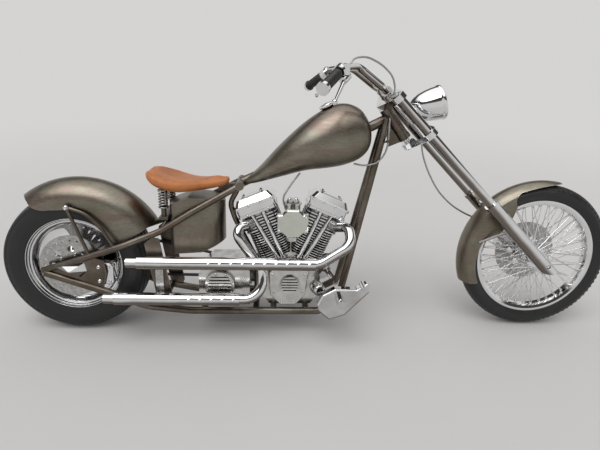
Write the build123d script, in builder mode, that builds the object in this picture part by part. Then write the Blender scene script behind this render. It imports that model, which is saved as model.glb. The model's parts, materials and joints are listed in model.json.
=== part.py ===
from build123d import *
import os
from math import cos, radians, sin, tan

# A long chopper motorcycle that leans on its side stand.
# It is laid out upright in millimetres: +X forward, +Y to the rider's left, +Z up from the ground,
# x = 0 midway between the axles. The stance at the end leans it over and moves the origin.

# Stance
wheelbase = 2145.0
lean_angle = 4.2

# Front wheel: a laced 21 inch rim
front_tyre_radius = 353.0
front_tyre_width = 92.0
front_rim_radius = 281.0
front_rim_width = 62.0
spoke_pairs = 20
spoke_diameter = 4.5
spoke_circle = 46.0
front_disc_radius = 146.0
disc_thickness = 5.0

# Rear wheel: a solid dished 16 inch wheel
rear_tyre_radius = 320.0
rear_tyre_width = 190.0
rear_rim_radius = 219.0
rear_hub_radius = 48.0
rear_disc_radius = 142.0
pulley_radius = 118.0
belt_width = 19.0
belt_thickness = 8.0

# Frame
neck_setback = 727.5
neck_centre_z = 964.0
neck_rake = 38.0
neck_length = 160.0
neck_diameter = 52.0
stem_diameter = 26.0
stem_recess = 9.0
backbone_diameter = 44.0
downtube_diameter = 33.0
stay_diameter = 29.0
seat_post_diameter = 24.0
plate_thickness = 10.0
rail_height = 112.0
rail_spacing = 240.0

# Fork
fork_angle = 45.7
axle_lead = 8.0
leg_spacing = 250.0
fork_tube_diameter = 42.0
slider_diameter = 58.0
slider_top = 406.0
slider_foot = 52.0
leg_top = 1062.0
lower_tree_height = 841.0
upper_tree_height = 1046.0
axle_diameter = 20.0

# Engine: an air cooled 45 degree V-twin
crank_x = -103.0
crank_z = 203.0
vee_angle = 45.0
barrel_foot = 172.0
barrel_top = 312.0
head_top = 392.0
barrel_radius = 56.0
fin_pitch = 11.5
fin_thickness = 4.0
fin_length = 158.0
fin_width = 146.0

# Handlebar and exhausts
handlebar_half = 385.0
handlebar_diameter = 32.0
grip_diameter = 42.0
pipe_diameter = 45.0
shield_diameter = 56.0
slot_pitch = 48.0

# Sheet metal
fender_wall = 4.0

# Gaps
bearing_clearance = 0.3
fender_gap = 11.0
stay_gap = 47.0

front_axle_x = wheelbase / 2
front_axle_z = front_tyre_radius
neck_centre_x = front_axle_x - neck_setback
rear_axle_x = -wheelbase / 2
rear_axle_z = rear_tyre_radius
half_stays = rear_tyre_width / 2 + stay_gap
fender_half = rear_tyre_width / 2 + fender_gap
rear_rim_width = rear_tyre_width - 18
rear_hub_width = rear_tyre_width + 8
front_hub_width = leg_spacing - 100

neck_centre = Vector(neck_centre_x, 0, neck_centre_z)
neck_down = Vector(sin(radians(neck_rake)), 0, -cos(radians(neck_rake)))
neck_top = neck_centre - neck_down * (neck_length / 2)
neck_foot = neck_centre + neck_down * (neck_length / 2)

fork_down = Vector(sin(radians(fork_angle)), 0, -cos(radians(fork_angle)))
fork_ahead = Vector(cos(radians(fork_angle)), 0, sin(radians(fork_angle)))
leg_origin = Vector(front_axle_x, 0, front_axle_z) - fork_ahead * axle_lead
half_legs = leg_spacing / 2

# The side stand folds back about a pivot on the left lower rail
stand_pivot = Vector(-20, 153, 119)
stand_reach = 268.0
stand_diameter = 19.0
stand_pin_diameter = 12.0

pieces = {}


def leg_point(height, y):
    """A point on a fork leg's centre line, so far up the leg from the axle."""
    return leg_origin - fork_down * height + Vector(0, y, 0)


def by_rear(x, y, z):
    """A point so far ahead of the rear axle."""
    return Vector(rear_axle_x + x, y, z)


def by_neck(x, y, z):
    """A point so far ahead of the middle of the neck."""
    return Vector(neck_centre_x + x, y, z)


def by_front(x, y, z):
    """A point so far ahead of the front axle."""
    return Vector(front_axle_x + x, y, z)


def side_plane(y, x=0):
    """Side view from the right: local x runs forward from x, local y runs up, the normal points right."""
    return Plane((x, y, 0), x_dir=(1, 0, 0), z_dir=(0, -1, 0))


def wheel_plane(x, z):
    """Section plane through an axle: local x runs left, local y runs up."""
    return Plane((x, 0, z), x_dir=(0, 1, 0), z_dir=(1, 0, 0))


def cylinder_plane(side, height):
    """Deck of a cylinder, so far from the crank. Local x runs forward along the fins."""
    tilt = radians(side * vee_angle / 2)
    along = Vector(sin(tilt), 0, cos(tilt))
    origin = Vector(crank_x, 0, crank_z) + along * height
    return Plane(origin, x_dir=(cos(tilt), 0, -sin(tilt)), z_dir=along)


def rod(start, end, diameter, mode=Mode.ADD):
    """Straight round bar between two points, in the open part."""
    start, end = Vector(start), Vector(end)
    with BuildSketch(Plane(start, z_dir=end - start)) as section:
        Circle(diameter / 2)
    extrude(section.sketch, amount=(end - start).length, mode=mode)


def bent_tube(route, bends, diameter, mode=Mode.ADD):
    """Round tube along straight runs joined by tangent bends, in the open part."""
    with BuildLine() as path:
        FilletPolyline(*route, radius=bends)
    with BuildSketch(Plane(path.line @ 0, z_dir=path.line % 0)) as section:
        Circle(diameter / 2)
    sweep(section.sketch, path=path.line, mode=mode)


def cord(route, diameter):
    """Flexible line on the open part. Each bend is as wide as the two runs beside it allow."""
    points = [Vector(*point) for point in route]
    runs = [b - a for a, b in zip(points, points[1:])]
    bends = [0.45 * min(one.length, two.length) / tan(radians(one.get_angle(two)) / 2)
             for one, two in zip(runs, runs[1:])]
    print("cord", round(sum(run.length for run in runs)), "mm, least bend", round(min(bends)))
    with BuildLine() as path:
        FilletPolyline(*points, radius=bends)
    with BuildSketch(Plane(path.line @ 0, z_dir=path.line % 0)) as section:
        Circle(diameter / 2)
    sweep(section.sketch, path=path.line)


def cut_by(*others):
    """Fits the open part against pieces that it is welded or bolted to."""
    for other in others:
        add(other.part, mode=Mode.SUBTRACT)


def keep(name, piece):
    piece.part.label = name
    pieces[name] = piece


# Steering neck with its gusset, the backbone down to the seat cross bar, and the seat post behind the engine
with BuildPart() as backbone:
    rod(neck_top, neck_foot, neck_diameter)
    for end, inward in ((neck_top, neck_down), (neck_foot, -neck_down)):
        rod(end, end + inward * 18, neck_diameter + 4)
    with BuildSketch(side_plane(-4, neck_centre_x)):
        with BuildLine():
            Polyline((-50, 990), (-25, 862), (41, 890), (-12, 990), close=True)
        make_face()
    extrude(amount=-8)
    bent_tube([by_neck(-27, 0, 990), by_neck(-205, 0, 900), (-180, 0, 760), (-330, 0, 690)], 300,
              backbone_diameter)
    rod((-334, -82, 688), (-334, 82, 688), 38)
    bent_tube([(-340, 0, 674), (-384, 0, 592), (-362, 0, 520), (-262, 0, 320), (-262, 0, rail_height + 8)],
              [60, 200, 120], seat_post_diameter)
    rod(neck_top - neck_down * stem_recess, neck_foot + neck_down * stem_recess,
        stem_diameter + 2 * bearing_clearance, Mode.SUBTRACT)
keep("backbone", backbone)

# Right down tube's upper run, from the neck to behind the foot controls
downtube_top = by_neck(-43, -22, 985)
downtube_foot = Vector(134, -66, 190)


def beside_downtube(share, x, y):
    """A point beside the right down tube's upper run, at this share of the way to its foot."""
    return downtube_top + (downtube_foot - downtube_top) * share + Vector(x, y, 0)


# Throttle cable beside the right down tube, where a clip holds it
cable_diameter = 8.0
throttle_route = [beside_downtube(-0.009, 4.5, -23.4), beside_downtube(0.067, 18, -21),
                  beside_downtube(0.147, 29, -25.5), beside_downtube(0.198, 23, -25.5),
                  beside_downtube(0.237, 0, -23.5), Vector(215, -46, 782), Vector(166, -34, 789)]
cable_run = (throttle_route[2] - throttle_route[1]).normalized()
cable_clip = throttle_route[1] + cable_run * 40

# Down tubes that bend into the lower rails and rise to the rear tips, with the stand's pivot on the left one
stand_axis = Vector(0, 0.725, 0.689).normalized()
tank_bar = beside_downtube(0.17, 0, 0)
with BuildPart() as downtubes:
    route = [downtube_top, downtube_foot, (40, -rail_spacing / 2, rail_height),
             (-560, -rail_spacing / 2, rail_height), by_rear(327.5, 8 - half_stays, 140),
             by_rear(167.5, -half_stays, 208), by_rear(-103.5, -half_stays, 304)]
    bent_tube(route, [70, 60, 220, 180, 300], downtube_diameter)
    mirror(about=Plane.XZ)
    rod(stand_pivot - stand_axis * 30, stand_pivot - stand_axis * 11.3, 30)
    rod(stand_pivot - stand_axis * 11.3, stand_pivot + stand_axis * 17, stand_pin_diameter)
    rod(stand_pivot + stand_axis * 11.3, stand_pivot + stand_axis * 17, 24)
    rod(tank_bar, (tank_bar.X, -tank_bar.Y, tank_bar.Z), 16)
    rod(beside_downtube(0.13, 0, 0), cable_clip, 8)
    rod(cable_clip - cable_run * 6, cable_clip + cable_run * 6, 16)
    rod(cable_clip - cable_run * 6, cable_clip + cable_run * 6, cable_diameter + 2 * bearing_clearance,
        Mode.SUBTRACT)
    cut_by(backbone)
keep("downtubes", downtubes)

# Upper stays, from under the tank back to the rear tips
with BuildPart() as upper_stays:
    route = [(-334, -64, 688), (-548, -102, 570), (-679, -122, 489), by_rear(242.5, 4 - half_stays, 430),
             by_rear(69.5, -half_stays, 371), by_rear(-111.5, -half_stays, 313)]
    bent_tube(route, 250, stay_diameter)
    mirror(about=Plane.XZ)
    cut_by(backbone, downtubes)
keep("upper_stays", upper_stays)

# Axle plates let in between the stays and the rails, and the strut plates between them further forward
with BuildPart() as frame_plates:
    with BuildSketch(side_plane(-124)):
        with BuildLine():
            Polyline((-745, 438), (-712, 464), (-682, 462), (-630, 158), (-640, 136), (-676, 136),
                     (-700, 158), close=True)
        make_face()
        fillet(vertices(), 8)
    extrude(amount=8)
    with BuildSketch(side_plane(8 - half_stays, rear_axle_x)):
        with BuildLine():
            Polyline((-78, 314), (98, 376), (150, 358), (158, 300), (136, 216), (62, 248), close=True)
        make_face()
        with Locations((10, rear_axle_z)):
            SlotOverall(48, axle_diameter + 2, mode=Mode.SUBTRACT)
    extrude(amount=plate_thickness)
    mirror(about=Plane.XZ)
    cut_by(upper_stays, downtubes)
keep("frame_plates", frame_plates)

# Cross members under the engine, the gearbox and the seat
with BuildPart() as cross_members:
    for x in (-30, -180, -262, -500):
        rod((x, -rail_spacing / 2, rail_height), (x, rail_spacing / 2, rail_height), 30)
    for x, y, z in ((-668, 116, 497), (-690, 120, 136)):
        rod((x, -y, z), (x, y, z), 26)
    with Locations((-400, 0, rail_height + 19)):
        Box(240, 150, 8)
    cut_by(downtubes, upper_stays, backbone)
keep("cross_members", cross_members)

# Teardrop fuel tank: x, bottom z, half width at the bottom, waist z, half waist, top z, half top
tank_sections = [
    (236, 862, 18, 888, 30, 925, 12),
    (200, 812, 62, 880, 98, 985, 40),
    (120, 776, 88, 868, 128, 1042, 58),
    (0, 768, 90, 858, 132, 1014, 58),
    (-140, 728, 70, 802, 102, 912, 46),
    (-270, 692, 38, 728, 56, 788, 24),
    (-338, 672, 8, 680, 14, 696, 8),
]
with BuildPart() as fuel_tank:
    for x, low, low_half, waist, waist_half, top, top_half in tank_sections:
        shoulder = top - (top - low) * 0.13
        with BuildSketch(Plane.YZ.offset(x)):
            with BuildLine():
                Line((-low_half, low), (low_half, low))
                ThreePointArc((low_half, low), (waist_half, waist), (top_half, shoulder))
                ThreePointArc((top_half, shoulder), (0, top), (-top_half, shoulder))
                ThreePointArc((-top_half, shoulder), (-waist_half, waist), (-low_half, low))
            make_face()
    loft()
    rod((226, 0, 884), (tank_bar.X - 2, 0, tank_bar.Z + 3), 16)
    cut_by(backbone, upper_stays, downtubes)
keep("fuel_tank", fuel_tank)

cap_up = Vector(-0.46, 0, 0.89).normalized()
with BuildPart() as fuel_cap:
    rod(Vector(42, 0, 1016), Vector(42, 0, 1016) + cap_up * 28, 50)
    rod(Vector(42, 0, 1016) + cap_up * 14, Vector(42, 0, 1016) + cap_up * 26, 70)
    cut_by(fuel_tank)
keep("fuel_cap", fuel_cap)

# Oil tank between the seat and the gearbox: round in front, with a flat back
oil_tank_half = 88.0
with BuildPart() as oil_tank:
    with BuildSketch(Plane.XY.offset(360)):
        with BuildLine():
            Polyline((-492, -oil_tank_half), (-640, -oil_tank_half), (-640, oil_tank_half),
                     (-492, oil_tank_half))
            ThreePointArc((-492, oil_tank_half), (-492 + oil_tank_half, 0), (-492, -oil_tank_half))
        make_face()
        fillet(vertices().group_by(Axis.X)[0], 20)
    extrude(amount=280)
    with BuildSketch(side_plane(-100)):
        with BuildLine():
            Polyline((-650, 373), (-505, 384), (-398, 432), (-398, 606), (-431, 626), (-505, 632),
                     (-560, 632), (-650, 600), close=True)
        make_face()
    extrude(amount=-200, mode=Mode.INTERSECT)
    cut_by(upper_stays, cross_members, backbone)
keep("oil_tank", oil_tank)

# Seat: a thin dished side outline cut by its plan outline
with BuildPart() as seat:
    with BuildSketch(side_plane(-170)):
        with BuildLine():
            ThreePointArc((-392, 686), (-380, 704), (-396, 724))
            ThreePointArc((-396, 724), (-552, 702), (-728, 755))
            ThreePointArc((-728, 755), (-746, 738), (-737, 716))
            ThreePointArc((-737, 716), (-568, 657), (-392, 686))
        make_face()
    extrude(amount=-340)
    with BuildSketch(Plane.XY.offset(600)):
        with BuildLine():
            ThreePointArc((-396, -34), (-382, 0), (-396, 34))
            ThreePointArc((-396, 34), (-480, 60), (-560, 112))
            ThreePointArc((-560, 112), (-636, 146), (-712, 112))
            ThreePointArc((-712, 112), (-748, 0), (-712, -112))
            ThreePointArc((-712, -112), (-636, -146), (-560, -112))
            ThreePointArc((-560, -112), (-480, -60), (-396, -34))
        make_face()
    extrude(amount=220, mode=Mode.INTERSECT)
keep("seat", seat)

# Two coil springs under the seat, on posts of a bracket that stands on the rear cross member
spring_x = -664.0
spring_y = 82.0
spring_foot = 588.0
spring_pitch = 14.0
spring_turns = 5
with BuildPart() as spring:
    with BuildSketch(Plane.XZ):
        with BuildLine():
            Polyline((0, spring_foot), (22, spring_foot), (22, spring_foot + 4), (9, spring_foot + 4),
                     (9, 664), (20, 664), (20, 680), (0, 680), close=True)
        make_face()
        for turn in range(spring_turns):
            with Locations((17, spring_foot + 9 + turn * spring_pitch)):
                Circle(4.6)
            with Locations((12, spring_foot + 9 + turn * spring_pitch)):
                Rectangle(10, 4)
    revolve(axis=Axis.Z)
with BuildPart() as seat_springs:
    with Locations((spring_x, -spring_y, 0), (spring_x, spring_y, 0)):
        add(spring.part)
    cut_by(seat)
keep("seat_springs", seat_springs)

with BuildPart() as seat_bracket:
    with Locations((spring_x, 0, 545)):
        Box(36, 2 * spring_y + 36, 12)
    for y in (-spring_y, spring_y):
        rod((spring_x, y, 545), (spring_x, y, spring_foot), 22)
    rod((spring_x, 0, 545), (-668, 0, 500), 26)
    with Locations((-392, 0, 668)):
        Box(84, 26, 36)
    cut_by(seat, backbone, cross_members, fuel_tank, oil_tank)
keep("seat_bracket", seat_bracket)

# Rear fender: a hoop about its own centre, whose skirt is deepest in front
fender_centre = (rear_axle_x + 22.5, 315)
fender_radius = 386.0
fender_crown = 92.0
fender_skirt = 98.0


def hoop_section(radius, half, crown, skirt, wall):
    """Section of a fender above its axle: an arched crown over two straight skirts."""
    spring_line = radius - crown
    for side in (-1, 1):
        Polyline((side * half, spring_line), (side * half, spring_line - skirt),
                 (side * (half - wall), spring_line - skirt), (side * (half - wall), spring_line))
    EllipticalCenterArc((0, spring_line), half, crown, 0, arc_size=180)
    EllipticalCenterArc((0, spring_line), half - wall, crown - wall, 0, arc_size=180)


with BuildPart() as rear_fender:
    with BuildSketch(wheel_plane(*fender_centre)) as hoop:
        with BuildLine():
            hoop_section(fender_radius, fender_half, fender_crown, fender_skirt, fender_wall)
        make_face()
    axle_line = Axis((fender_centre[0], 0, fender_centre[1]), (0, 1, 0))
    revolve(axis=axle_line, revolution_arc=60)
    revolve(hoop.sketch, axis=axle_line, revolution_arc=-43)
    with BuildSketch(side_plane(-fender_half - 10, rear_axle_x)):
        with BuildLine():
            Polyline((-328, 650), (-190, 620), (-168, 606))
            ThreePointArc((-168, 606), (-134, 580), (-78, 574))
            Line((-78, 574), (10, 578))
            ThreePointArc((10, 578), (122, 520), (184, 430))
            Polyline((184, 430), (432, 430), (432, 60), (-328, 60), (-328, 650))
        make_face()
    extrude(amount=-2 * fender_half - 20, mode=Mode.SUBTRACT)
    cut_by(upper_stays, cross_members)
keep("rear_fender", rear_fender)

# Engine
with BuildPart() as crankcase:
    with BuildSketch(side_plane(-74)):
        with BuildLine():
            Polyline((-226, 338), (-112, 386), (-94, 386), (20, 338), (34, 260), (30, 180), (-10, 127),
                     (-200, 127), (-240, 180), (-244, 280), close=True)
        make_face()
    extrude(amount=-148)
keep("crankcase", crankcase)

# Exhaust ports at the front of one head and the back of the other
front_port = Vector(100, -82, 509)
rear_port = Vector(-306, -82, 509)

# Push rod tubes: foot x, side of the vee, place along the head
pushrods = [(-158, -1, -30), (-134, -1, 22), (-72, 1, -22), (-48, 1, 30)]
pushrod_foot_z = 352.0


def pushrod_ends(foot_x, side, place):
    top = cylinder_plane(side, head_top).from_local_coords((place, -64, 0))
    return Vector(foot_x, -92, pushrod_foot_z), top


with BuildPart() as cylinders:
    for side in (-1, 1):
        with BuildPart(mode=Mode.PRIVATE) as barrel:
            with BuildSketch(cylinder_plane(side, barrel_foot)):
                Circle(barrel_radius)
            extrude(amount=barrel_top - barrel_foot)
            for turn in range(int((barrel_top - barrel_foot) / fin_pitch)):
                with BuildSketch(cylinder_plane(side, barrel_foot + 6 + turn * fin_pitch)):
                    RectangleRounded(fin_length, fin_width, 40)
                extrude(amount=fin_thickness)
            with Locations((crank_x - side * 196, 0, 450)):
                Box(400, 400, 700, mode=Mode.SUBTRACT)
        add(barrel.part)
    for foot_x, vee_side, place in pushrods:
        foot, top = pushrod_ends(foot_x, vee_side, place)
        rod(foot, top, 24, Mode.SUBTRACT)
    cut_by(crankcase)
keep("cylinders", cylinders)

with BuildPart() as cylinder_heads:
    for side in (-1, 1):
        with BuildSketch(cylinder_plane(side, barrel_top)):
            RectangleRounded(140, 126, 30)
        extrude(amount=head_top - barrel_top)
        for turn in range(5):
            with BuildSketch(cylinder_plane(side, barrel_top + 5 + turn * 14)):
                RectangleRounded(170, 146, 26)
            extrude(amount=6)
    rod((40, -20, 525), front_port, 54)
    rod((-246, -20, 525), rear_port, 54)
    for foot_x, vee_side, place in pushrods:
        foot, top = pushrod_ends(foot_x, vee_side, place)
        rod(foot, top, 24, Mode.SUBTRACT)
keep("cylinder_heads", cylinder_heads)

# Rocker boxes: base above the head, height, length, width and corner of each layer, then a domed lid
rocker_layers = [(0, 10, 190, 138, 18), (10, 30, 182, 130, 16), (40, 12, 194, 142, 18)]
lid_base = 52.0
lid_height = 26.0
with BuildPart() as rocker_boxes:
    for side in (-1, 1):
        for base, height, length, width, corner in rocker_layers:
            with BuildSketch(cylinder_plane(side, head_top + base)):
                RectangleRounded(length, width, corner)
            extrude(amount=height)
        for base, length, width, corner in ((lid_base, 180, 128, 16), (lid_base + lid_height, 148, 94, 14)):
            with BuildSketch(cylinder_plane(side, head_top + base)):
                RectangleRounded(length, width, corner)
        loft()
        with BuildSketch(cylinder_plane(side, head_top + lid_base + lid_height)):
            RectangleRounded(104, 60, 10)
        extrude(amount=4)
keep("rocker_boxes", rocker_boxes)

# Cam cover with its round nose and the bars cast across it
nose_centre = (-108, 245)
nose_radius = 42.0
bar_pitch = 13.0
with BuildPart() as cam_cover:
    with BuildSketch(side_plane(-74)):
        with BuildLine():
            Polyline((-206, 300), (-160, 346), (-46, 346), (-22, 300), (-36, 190), (-80, 142), (-150, 142),
                     (-196, 190), close=True)
        make_face()
        fillet(vertices(), 18)
    extrude(amount=48)
    fillet(faces().sort_by(Axis.Y)[0].edges(), 7)
    with BuildSketch(side_plane(-120)):
        with Locations(nose_centre):
            Circle(nose_radius)
    extrude(amount=18)
    with BuildSketch(side_plane(-137)):
        with Locations(nose_centre):
            for row in range(-2, 3):
                with Locations((0, row * bar_pitch)):
                    SlotOverall(2 * (nose_radius ** 2 - (row * bar_pitch) ** 2) ** 0.5 - 6, 8)
    extrude(amount=8)
keep("cam_cover", cam_cover)

with BuildPart() as pushrod_tubes:
    for foot_x, side, place in pushrods:
        foot, top = pushrod_ends(foot_x, side, place)
        along = (top - foot).normalized()
        rod(foot, top, 19)
        rod(foot, foot + along * 26, 26)
    for x in (-146, -60):
        with Locations((x, -94, 345)):
            Box(58, 34, 26)
        with Locations([(x + rib * 14 - 21, -113, 345) for rib in range(4)]):
            Box(6, 6, 24)
    cut_by(cam_cover, crankcase)
    cut_by(rocker_boxes, cylinders)
keep("pushrod_tubes", pushrod_tubes)

with BuildPart() as carburettor:
    rod((-205, 0, 512), (-1, 0, 512), 44)
    rod((crank_x, 0, 512), (crank_x, -80, 528), 46)
    rod((crank_x, -80, 528), (crank_x, -168, 552), 62)
    rod((crank_x, -110, 500), (crank_x, -110, 456), 54)
    rod((crank_x + 3, -74, 536), (crank_x + 3, -74, 612), 66)
    rod((crank_x + 3, -74, 612), (crank_x + 3, -74, 621), 78)
    rod((crank_x + 3, -74, 621), (crank_x + 3, -74, 634), 56)
    cut_by(cylinder_heads, cylinders)
keep("carburettor", carburettor)

# Air cleaner: a flat cover with stepped corners over a round filter
air_cleaner_z = 554.0
with BuildPart() as air_cleaner:
    with BuildSketch(side_plane(-168)):
        with Locations((crank_x, air_cleaner_z)):
            Rectangle(130, 78)
            RegularPolygon(63.8, 8, rotation=22.5)
    extrude(amount=30)
    chamfer(faces().sort_by(Axis.Y)[0].edges(), 3)
    rod((crank_x, -146, air_cleaner_z), (crank_x, -168, air_cleaner_z), 96)
    cut_by(carburettor)
keep("air_cleaner", air_cleaner)

with BuildPart() as oil_filter:
    rod((18, -60, 214), (30, -142, 222), 56)
    fillet(faces().sort_by(Axis.Y)[0].edges(), 14)
    rod((18, -74, 214), (20, -84, 216), 62)
    cut_by(crankcase)
keep("oil_filter", oil_filter)

primary_y = 124.0
with BuildPart() as primary_cover:
    with BuildSketch(side_plane(primary_y)):
        with Locations((-260, 220)):
            SlotOverall(480, 168)
    extrude(amount=-50)
    with BuildSketch(side_plane(primary_y + 50)):
        with Locations((-260, 220)):
            SlotOverall(480, 168)
    extrude(amount=-12, taper=40)
    rod((crank_x, 74, 220), (crank_x, primary_y, 220), 150)
    rod((-420, 180, 220), (-420, 194, 220), 120)
keep("primary_cover", primary_cover)

# Gearbox with its finned side cover and its belt pulley
belt_y = rear_hub_width / 2 + 1 + belt_width / 2
front_pulley = (-400, 238)
front_pulley_radius = 46.0
with BuildPart() as gearbox:
    with BuildSketch(side_plane(-104)):
        with BuildLine():
            Polyline((-290, 135), (-290, 300), (-340, 340), (-470, 340), (-520, 290), (-520, 170),
                     (-490, 135), close=True)
        make_face()
    extrude(amount=-178)
    with BuildSketch(side_plane(-104)):
        with Locations((-424, 238)):
            Circle(66)
    extrude(amount=26)
    with BuildSketch(side_plane(-130)):
        for row in range(6):
            with Locations((-424, 199 + row * 15.5)):
                SlotOverall(112 - 12 * abs(row - 2.5), 8)
    extrude(amount=7)
    rod((front_pulley[0], 74, front_pulley[1]), (front_pulley[0], primary_y, front_pulley[1]), 40)
    rod((front_pulley[0], belt_y - belt_width / 2, front_pulley[1]),
        (front_pulley[0], belt_y + belt_width / 2, front_pulley[1]), 2 * front_pulley_radius)
    cut_by(cross_members)
keep("gearbox", gearbox)

# Exhausts: each a pipe with its heat shield and open end, the front head's above the rear head's
pipe_y = -half_stays - 48
slot_depth = 4.0
slot_out = Vector(0, -cos(radians(35)), sin(radians(35)))
exhaust_routes = [
    ([front_port, (146, -128, 524), (152, pipe_y, 460), (20, pipe_y, 371), (-809, pipe_y, 371)],
     [45, 60, 110], 0, -8),
    ([rear_port, (-362, -124, 505), (-230, -138, 318), (-233, pipe_y, 203), (-917, pipe_y, 203)],
     [36, 100, 80], -330, -337),
]
with BuildPart() as exhausts:
    for route, bends, shield_front, first_slot in exhaust_routes:
        tip = Vector(route[-1])
        bent_tube(route, bends, pipe_diameter)
        rod((shield_front, pipe_y, tip.Z), tip + Vector(46, 0, 0), shield_diameter)
        rod(tip, tip + Vector(90, 0, 0), pipe_diameter - 5, Mode.SUBTRACT)
        shield_side = Vector(0, pipe_y, tip.Z) + slot_out * (shield_diameter / 2)
        with BuildSketch(Plane(shield_side, x_dir=(1, 0, 0), z_dir=slot_out)):
            slot_x = first_slot - 16
            while slot_x > tip.X + 330:
                with Locations((slot_x, 0)):
                    SlotOverall(24, 7, rotation=45)
                slot_x -= slot_pitch
        extrude(amount=-slot_depth, mode=Mode.SUBTRACT)
    cut_by(cylinder_heads, cylinders)
keep("exhausts", exhausts)

# Exhaust brackets on the right strut plate
bracket_x = -686.0
strut_plate_y = -132.0
bracket_reach = strut_plate_y - pipe_y - 10
with BuildPart() as exhaust_brackets:
    for z in (371, 203):
        with Locations((bracket_x, strut_plate_y - bracket_reach / 2, z)):
            Box(34, bracket_reach, 6)
    with Locations((bracket_x, strut_plate_y - 4, 287)):
        Box(34, 8, 178)
    cut_by(exhausts, frame_plates)
keep("exhaust_brackets", exhaust_brackets)

# Forward foot controls: a cast body outside each arm, with its peg, its link and its toe pad
with BuildPart() as foot_controls:
    with BuildPart(mode=Mode.PRIVATE) as casting:
        with BuildSketch(side_plane(-206)):
            with BuildLine():
                Polyline((8, 200), (30, 246), (84, 276), (180, 274), (230, 310), (236, 262), (134, 152),
                         (64, 128), (14, 172), close=True)
            make_face()
            fillet(vertices(), 9)
        extrude(amount=36)
        fillet(faces().sort_by(Axis.Y)[0].edges(), 8)
    add(casting.part)
    rod((128, -60, 176), (96, -190, 190), 30)
    rod((96, -186, 190), (96, -210, 200), 40)
    rod((107, -236, 231), (107, -304, 231), 36)
    rod((30, -200, 190), (75, -152, 217), 12)
    with Locations((75, -150, 217)):
        Sphere(20)
    rod((75, -150, 217), (100, -158, 186), 14)
    rod((206, -204, 288), (206, -268, 288), 24)
    mirror(about=Plane.XZ)
    cut_by(downtubes, oil_filter)
keep("foot_controls", foot_controls)

# Rear wheel
rear_section = wheel_plane(rear_axle_x, rear_axle_z)
rear_axle_line = Axis((rear_axle_x, 0, rear_axle_z), (0, 1, 0))
lip = rear_rim_width / 2
bead = lip - 5
with BuildPart() as rear_tyre:
    with BuildSketch(rear_section):
        with BuildLine():
            half = rear_tyre_width / 2
            Line((-bead, 204), (bead, 204))
            Polyline((bead, 204), (bead, rear_rim_radius), (lip, rear_rim_radius))
            ThreePointArc((lip, rear_rim_radius), (half, 264), (half - 9, 304))
            ThreePointArc((half - 9, 304), (0, rear_tyre_radius), (9 - half, 304))
            ThreePointArc((9 - half, 304), (-half, 264), (-lip, rear_rim_radius))
            Polyline((-lip, rear_rim_radius), (-bead, rear_rim_radius), (-bead, 204))
        make_face()
    revolve(axis=rear_axle_line)
keep("rear_tyre", rear_tyre)

with BuildPart() as rear_rim:
    with BuildSketch(rear_section):
        with BuildLine():
            Polyline((-lip, rear_rim_radius), (-bead, rear_rim_radius), (-bead, 204), (bead, 204),
                     (bead, rear_rim_radius), (lip, rear_rim_radius), (lip, 208), (lip - 14, 194), (26, 186),
                     (20, 90), (34, 56), (rear_hub_width / 2, rear_hub_radius), (rear_hub_width / 2, 12),
                     (-rear_hub_width / 2, 12), (-rear_hub_width / 2, rear_hub_radius), (-70, 56), (-46, 90),
                     (-30, 186), (14 - lip, 194), (-lip, 208), close=True)
        make_face()
        with Locations((0, 0)):
            Rectangle(400, 2 * (axle_diameter / 2 + bearing_clearance), mode=Mode.SUBTRACT)
    revolve(axis=rear_axle_line)
keep("rear_rim", rear_rim)

with BuildPart() as rear_disc:
    with BuildSketch(side_plane(-rear_hub_width / 2)):
        with Locations((rear_axle_x, rear_axle_z)):
            Circle(rear_disc_radius)
            Circle(40, mode=Mode.SUBTRACT)
            with PolarLocations(78, 8):
                Circle(14, mode=Mode.SUBTRACT)
            with PolarLocations(118, 24):
                Circle(4, mode=Mode.SUBTRACT)
    extrude(amount=disc_thickness)
keep("rear_disc", rear_disc)

with BuildPart() as rear_pulley:
    with BuildSketch(side_plane(belt_y - belt_width / 2 - 1)):
        with Locations((rear_axle_x, rear_axle_z)):
            Circle(pulley_radius)
            Circle(40, mode=Mode.SUBTRACT)
            with PolarLocations(72, 5):
                Circle(21, mode=Mode.SUBTRACT)
    extrude(amount=-(belt_width + 2))
keep("rear_pulley", rear_pulley)

# Final drive belt round the rear pulley and the gearbox pulley
with BuildPart() as drive_belt:
    with BuildSketch(side_plane(belt_y - belt_width / 2)):
        with Locations((rear_axle_x, rear_axle_z)):
            Circle(pulley_radius + bearing_clearance + belt_thickness)
        with Locations(front_pulley):
            Circle(front_pulley_radius + belt_thickness)
        make_hull()
    extrude(amount=-belt_width)
    with BuildSketch(side_plane(belt_y - belt_width / 2)):
        with Locations((rear_axle_x, rear_axle_z)):
            Circle(pulley_radius + bearing_clearance)
        with Locations(front_pulley):
            Circle(front_pulley_radius)
        make_hull()
    extrude(amount=-belt_width, mode=Mode.SUBTRACT)
keep("drive_belt", drive_belt)

# Rear axle with a five sided pyramid over each end
cover_foot = [(-68, 334), (-38, 344), (68, 350), (76, 312), (48, 284)]
cover_tip = (16, 322)
with BuildPart() as rear_axle:
    rod(by_rear(0, -half_stays - 12, rear_axle_z), by_rear(0, half_stays + 12, rear_axle_z), axle_diameter)
    with BuildPart(mode=Mode.PRIVATE) as cover:
        for y, share in ((-half_stays - 2, 1), (-half_stays - 40, 0.1)):
            corners = [(cover_tip[0] + share * (x - cover_tip[0]), cover_tip[1] + share * (z - cover_tip[1]))
                       for x, z in cover_foot]
            with BuildSketch(side_plane(y, rear_axle_x)):
                with BuildLine():
                    Polyline(*corners, close=True)
                make_face()
        loft(ruled=True)
    add(cover.part)
    mirror(about=Plane.XZ)
    cut_by(frame_plates, upper_stays, downtubes)
keep("rear_axle", rear_axle)

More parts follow.
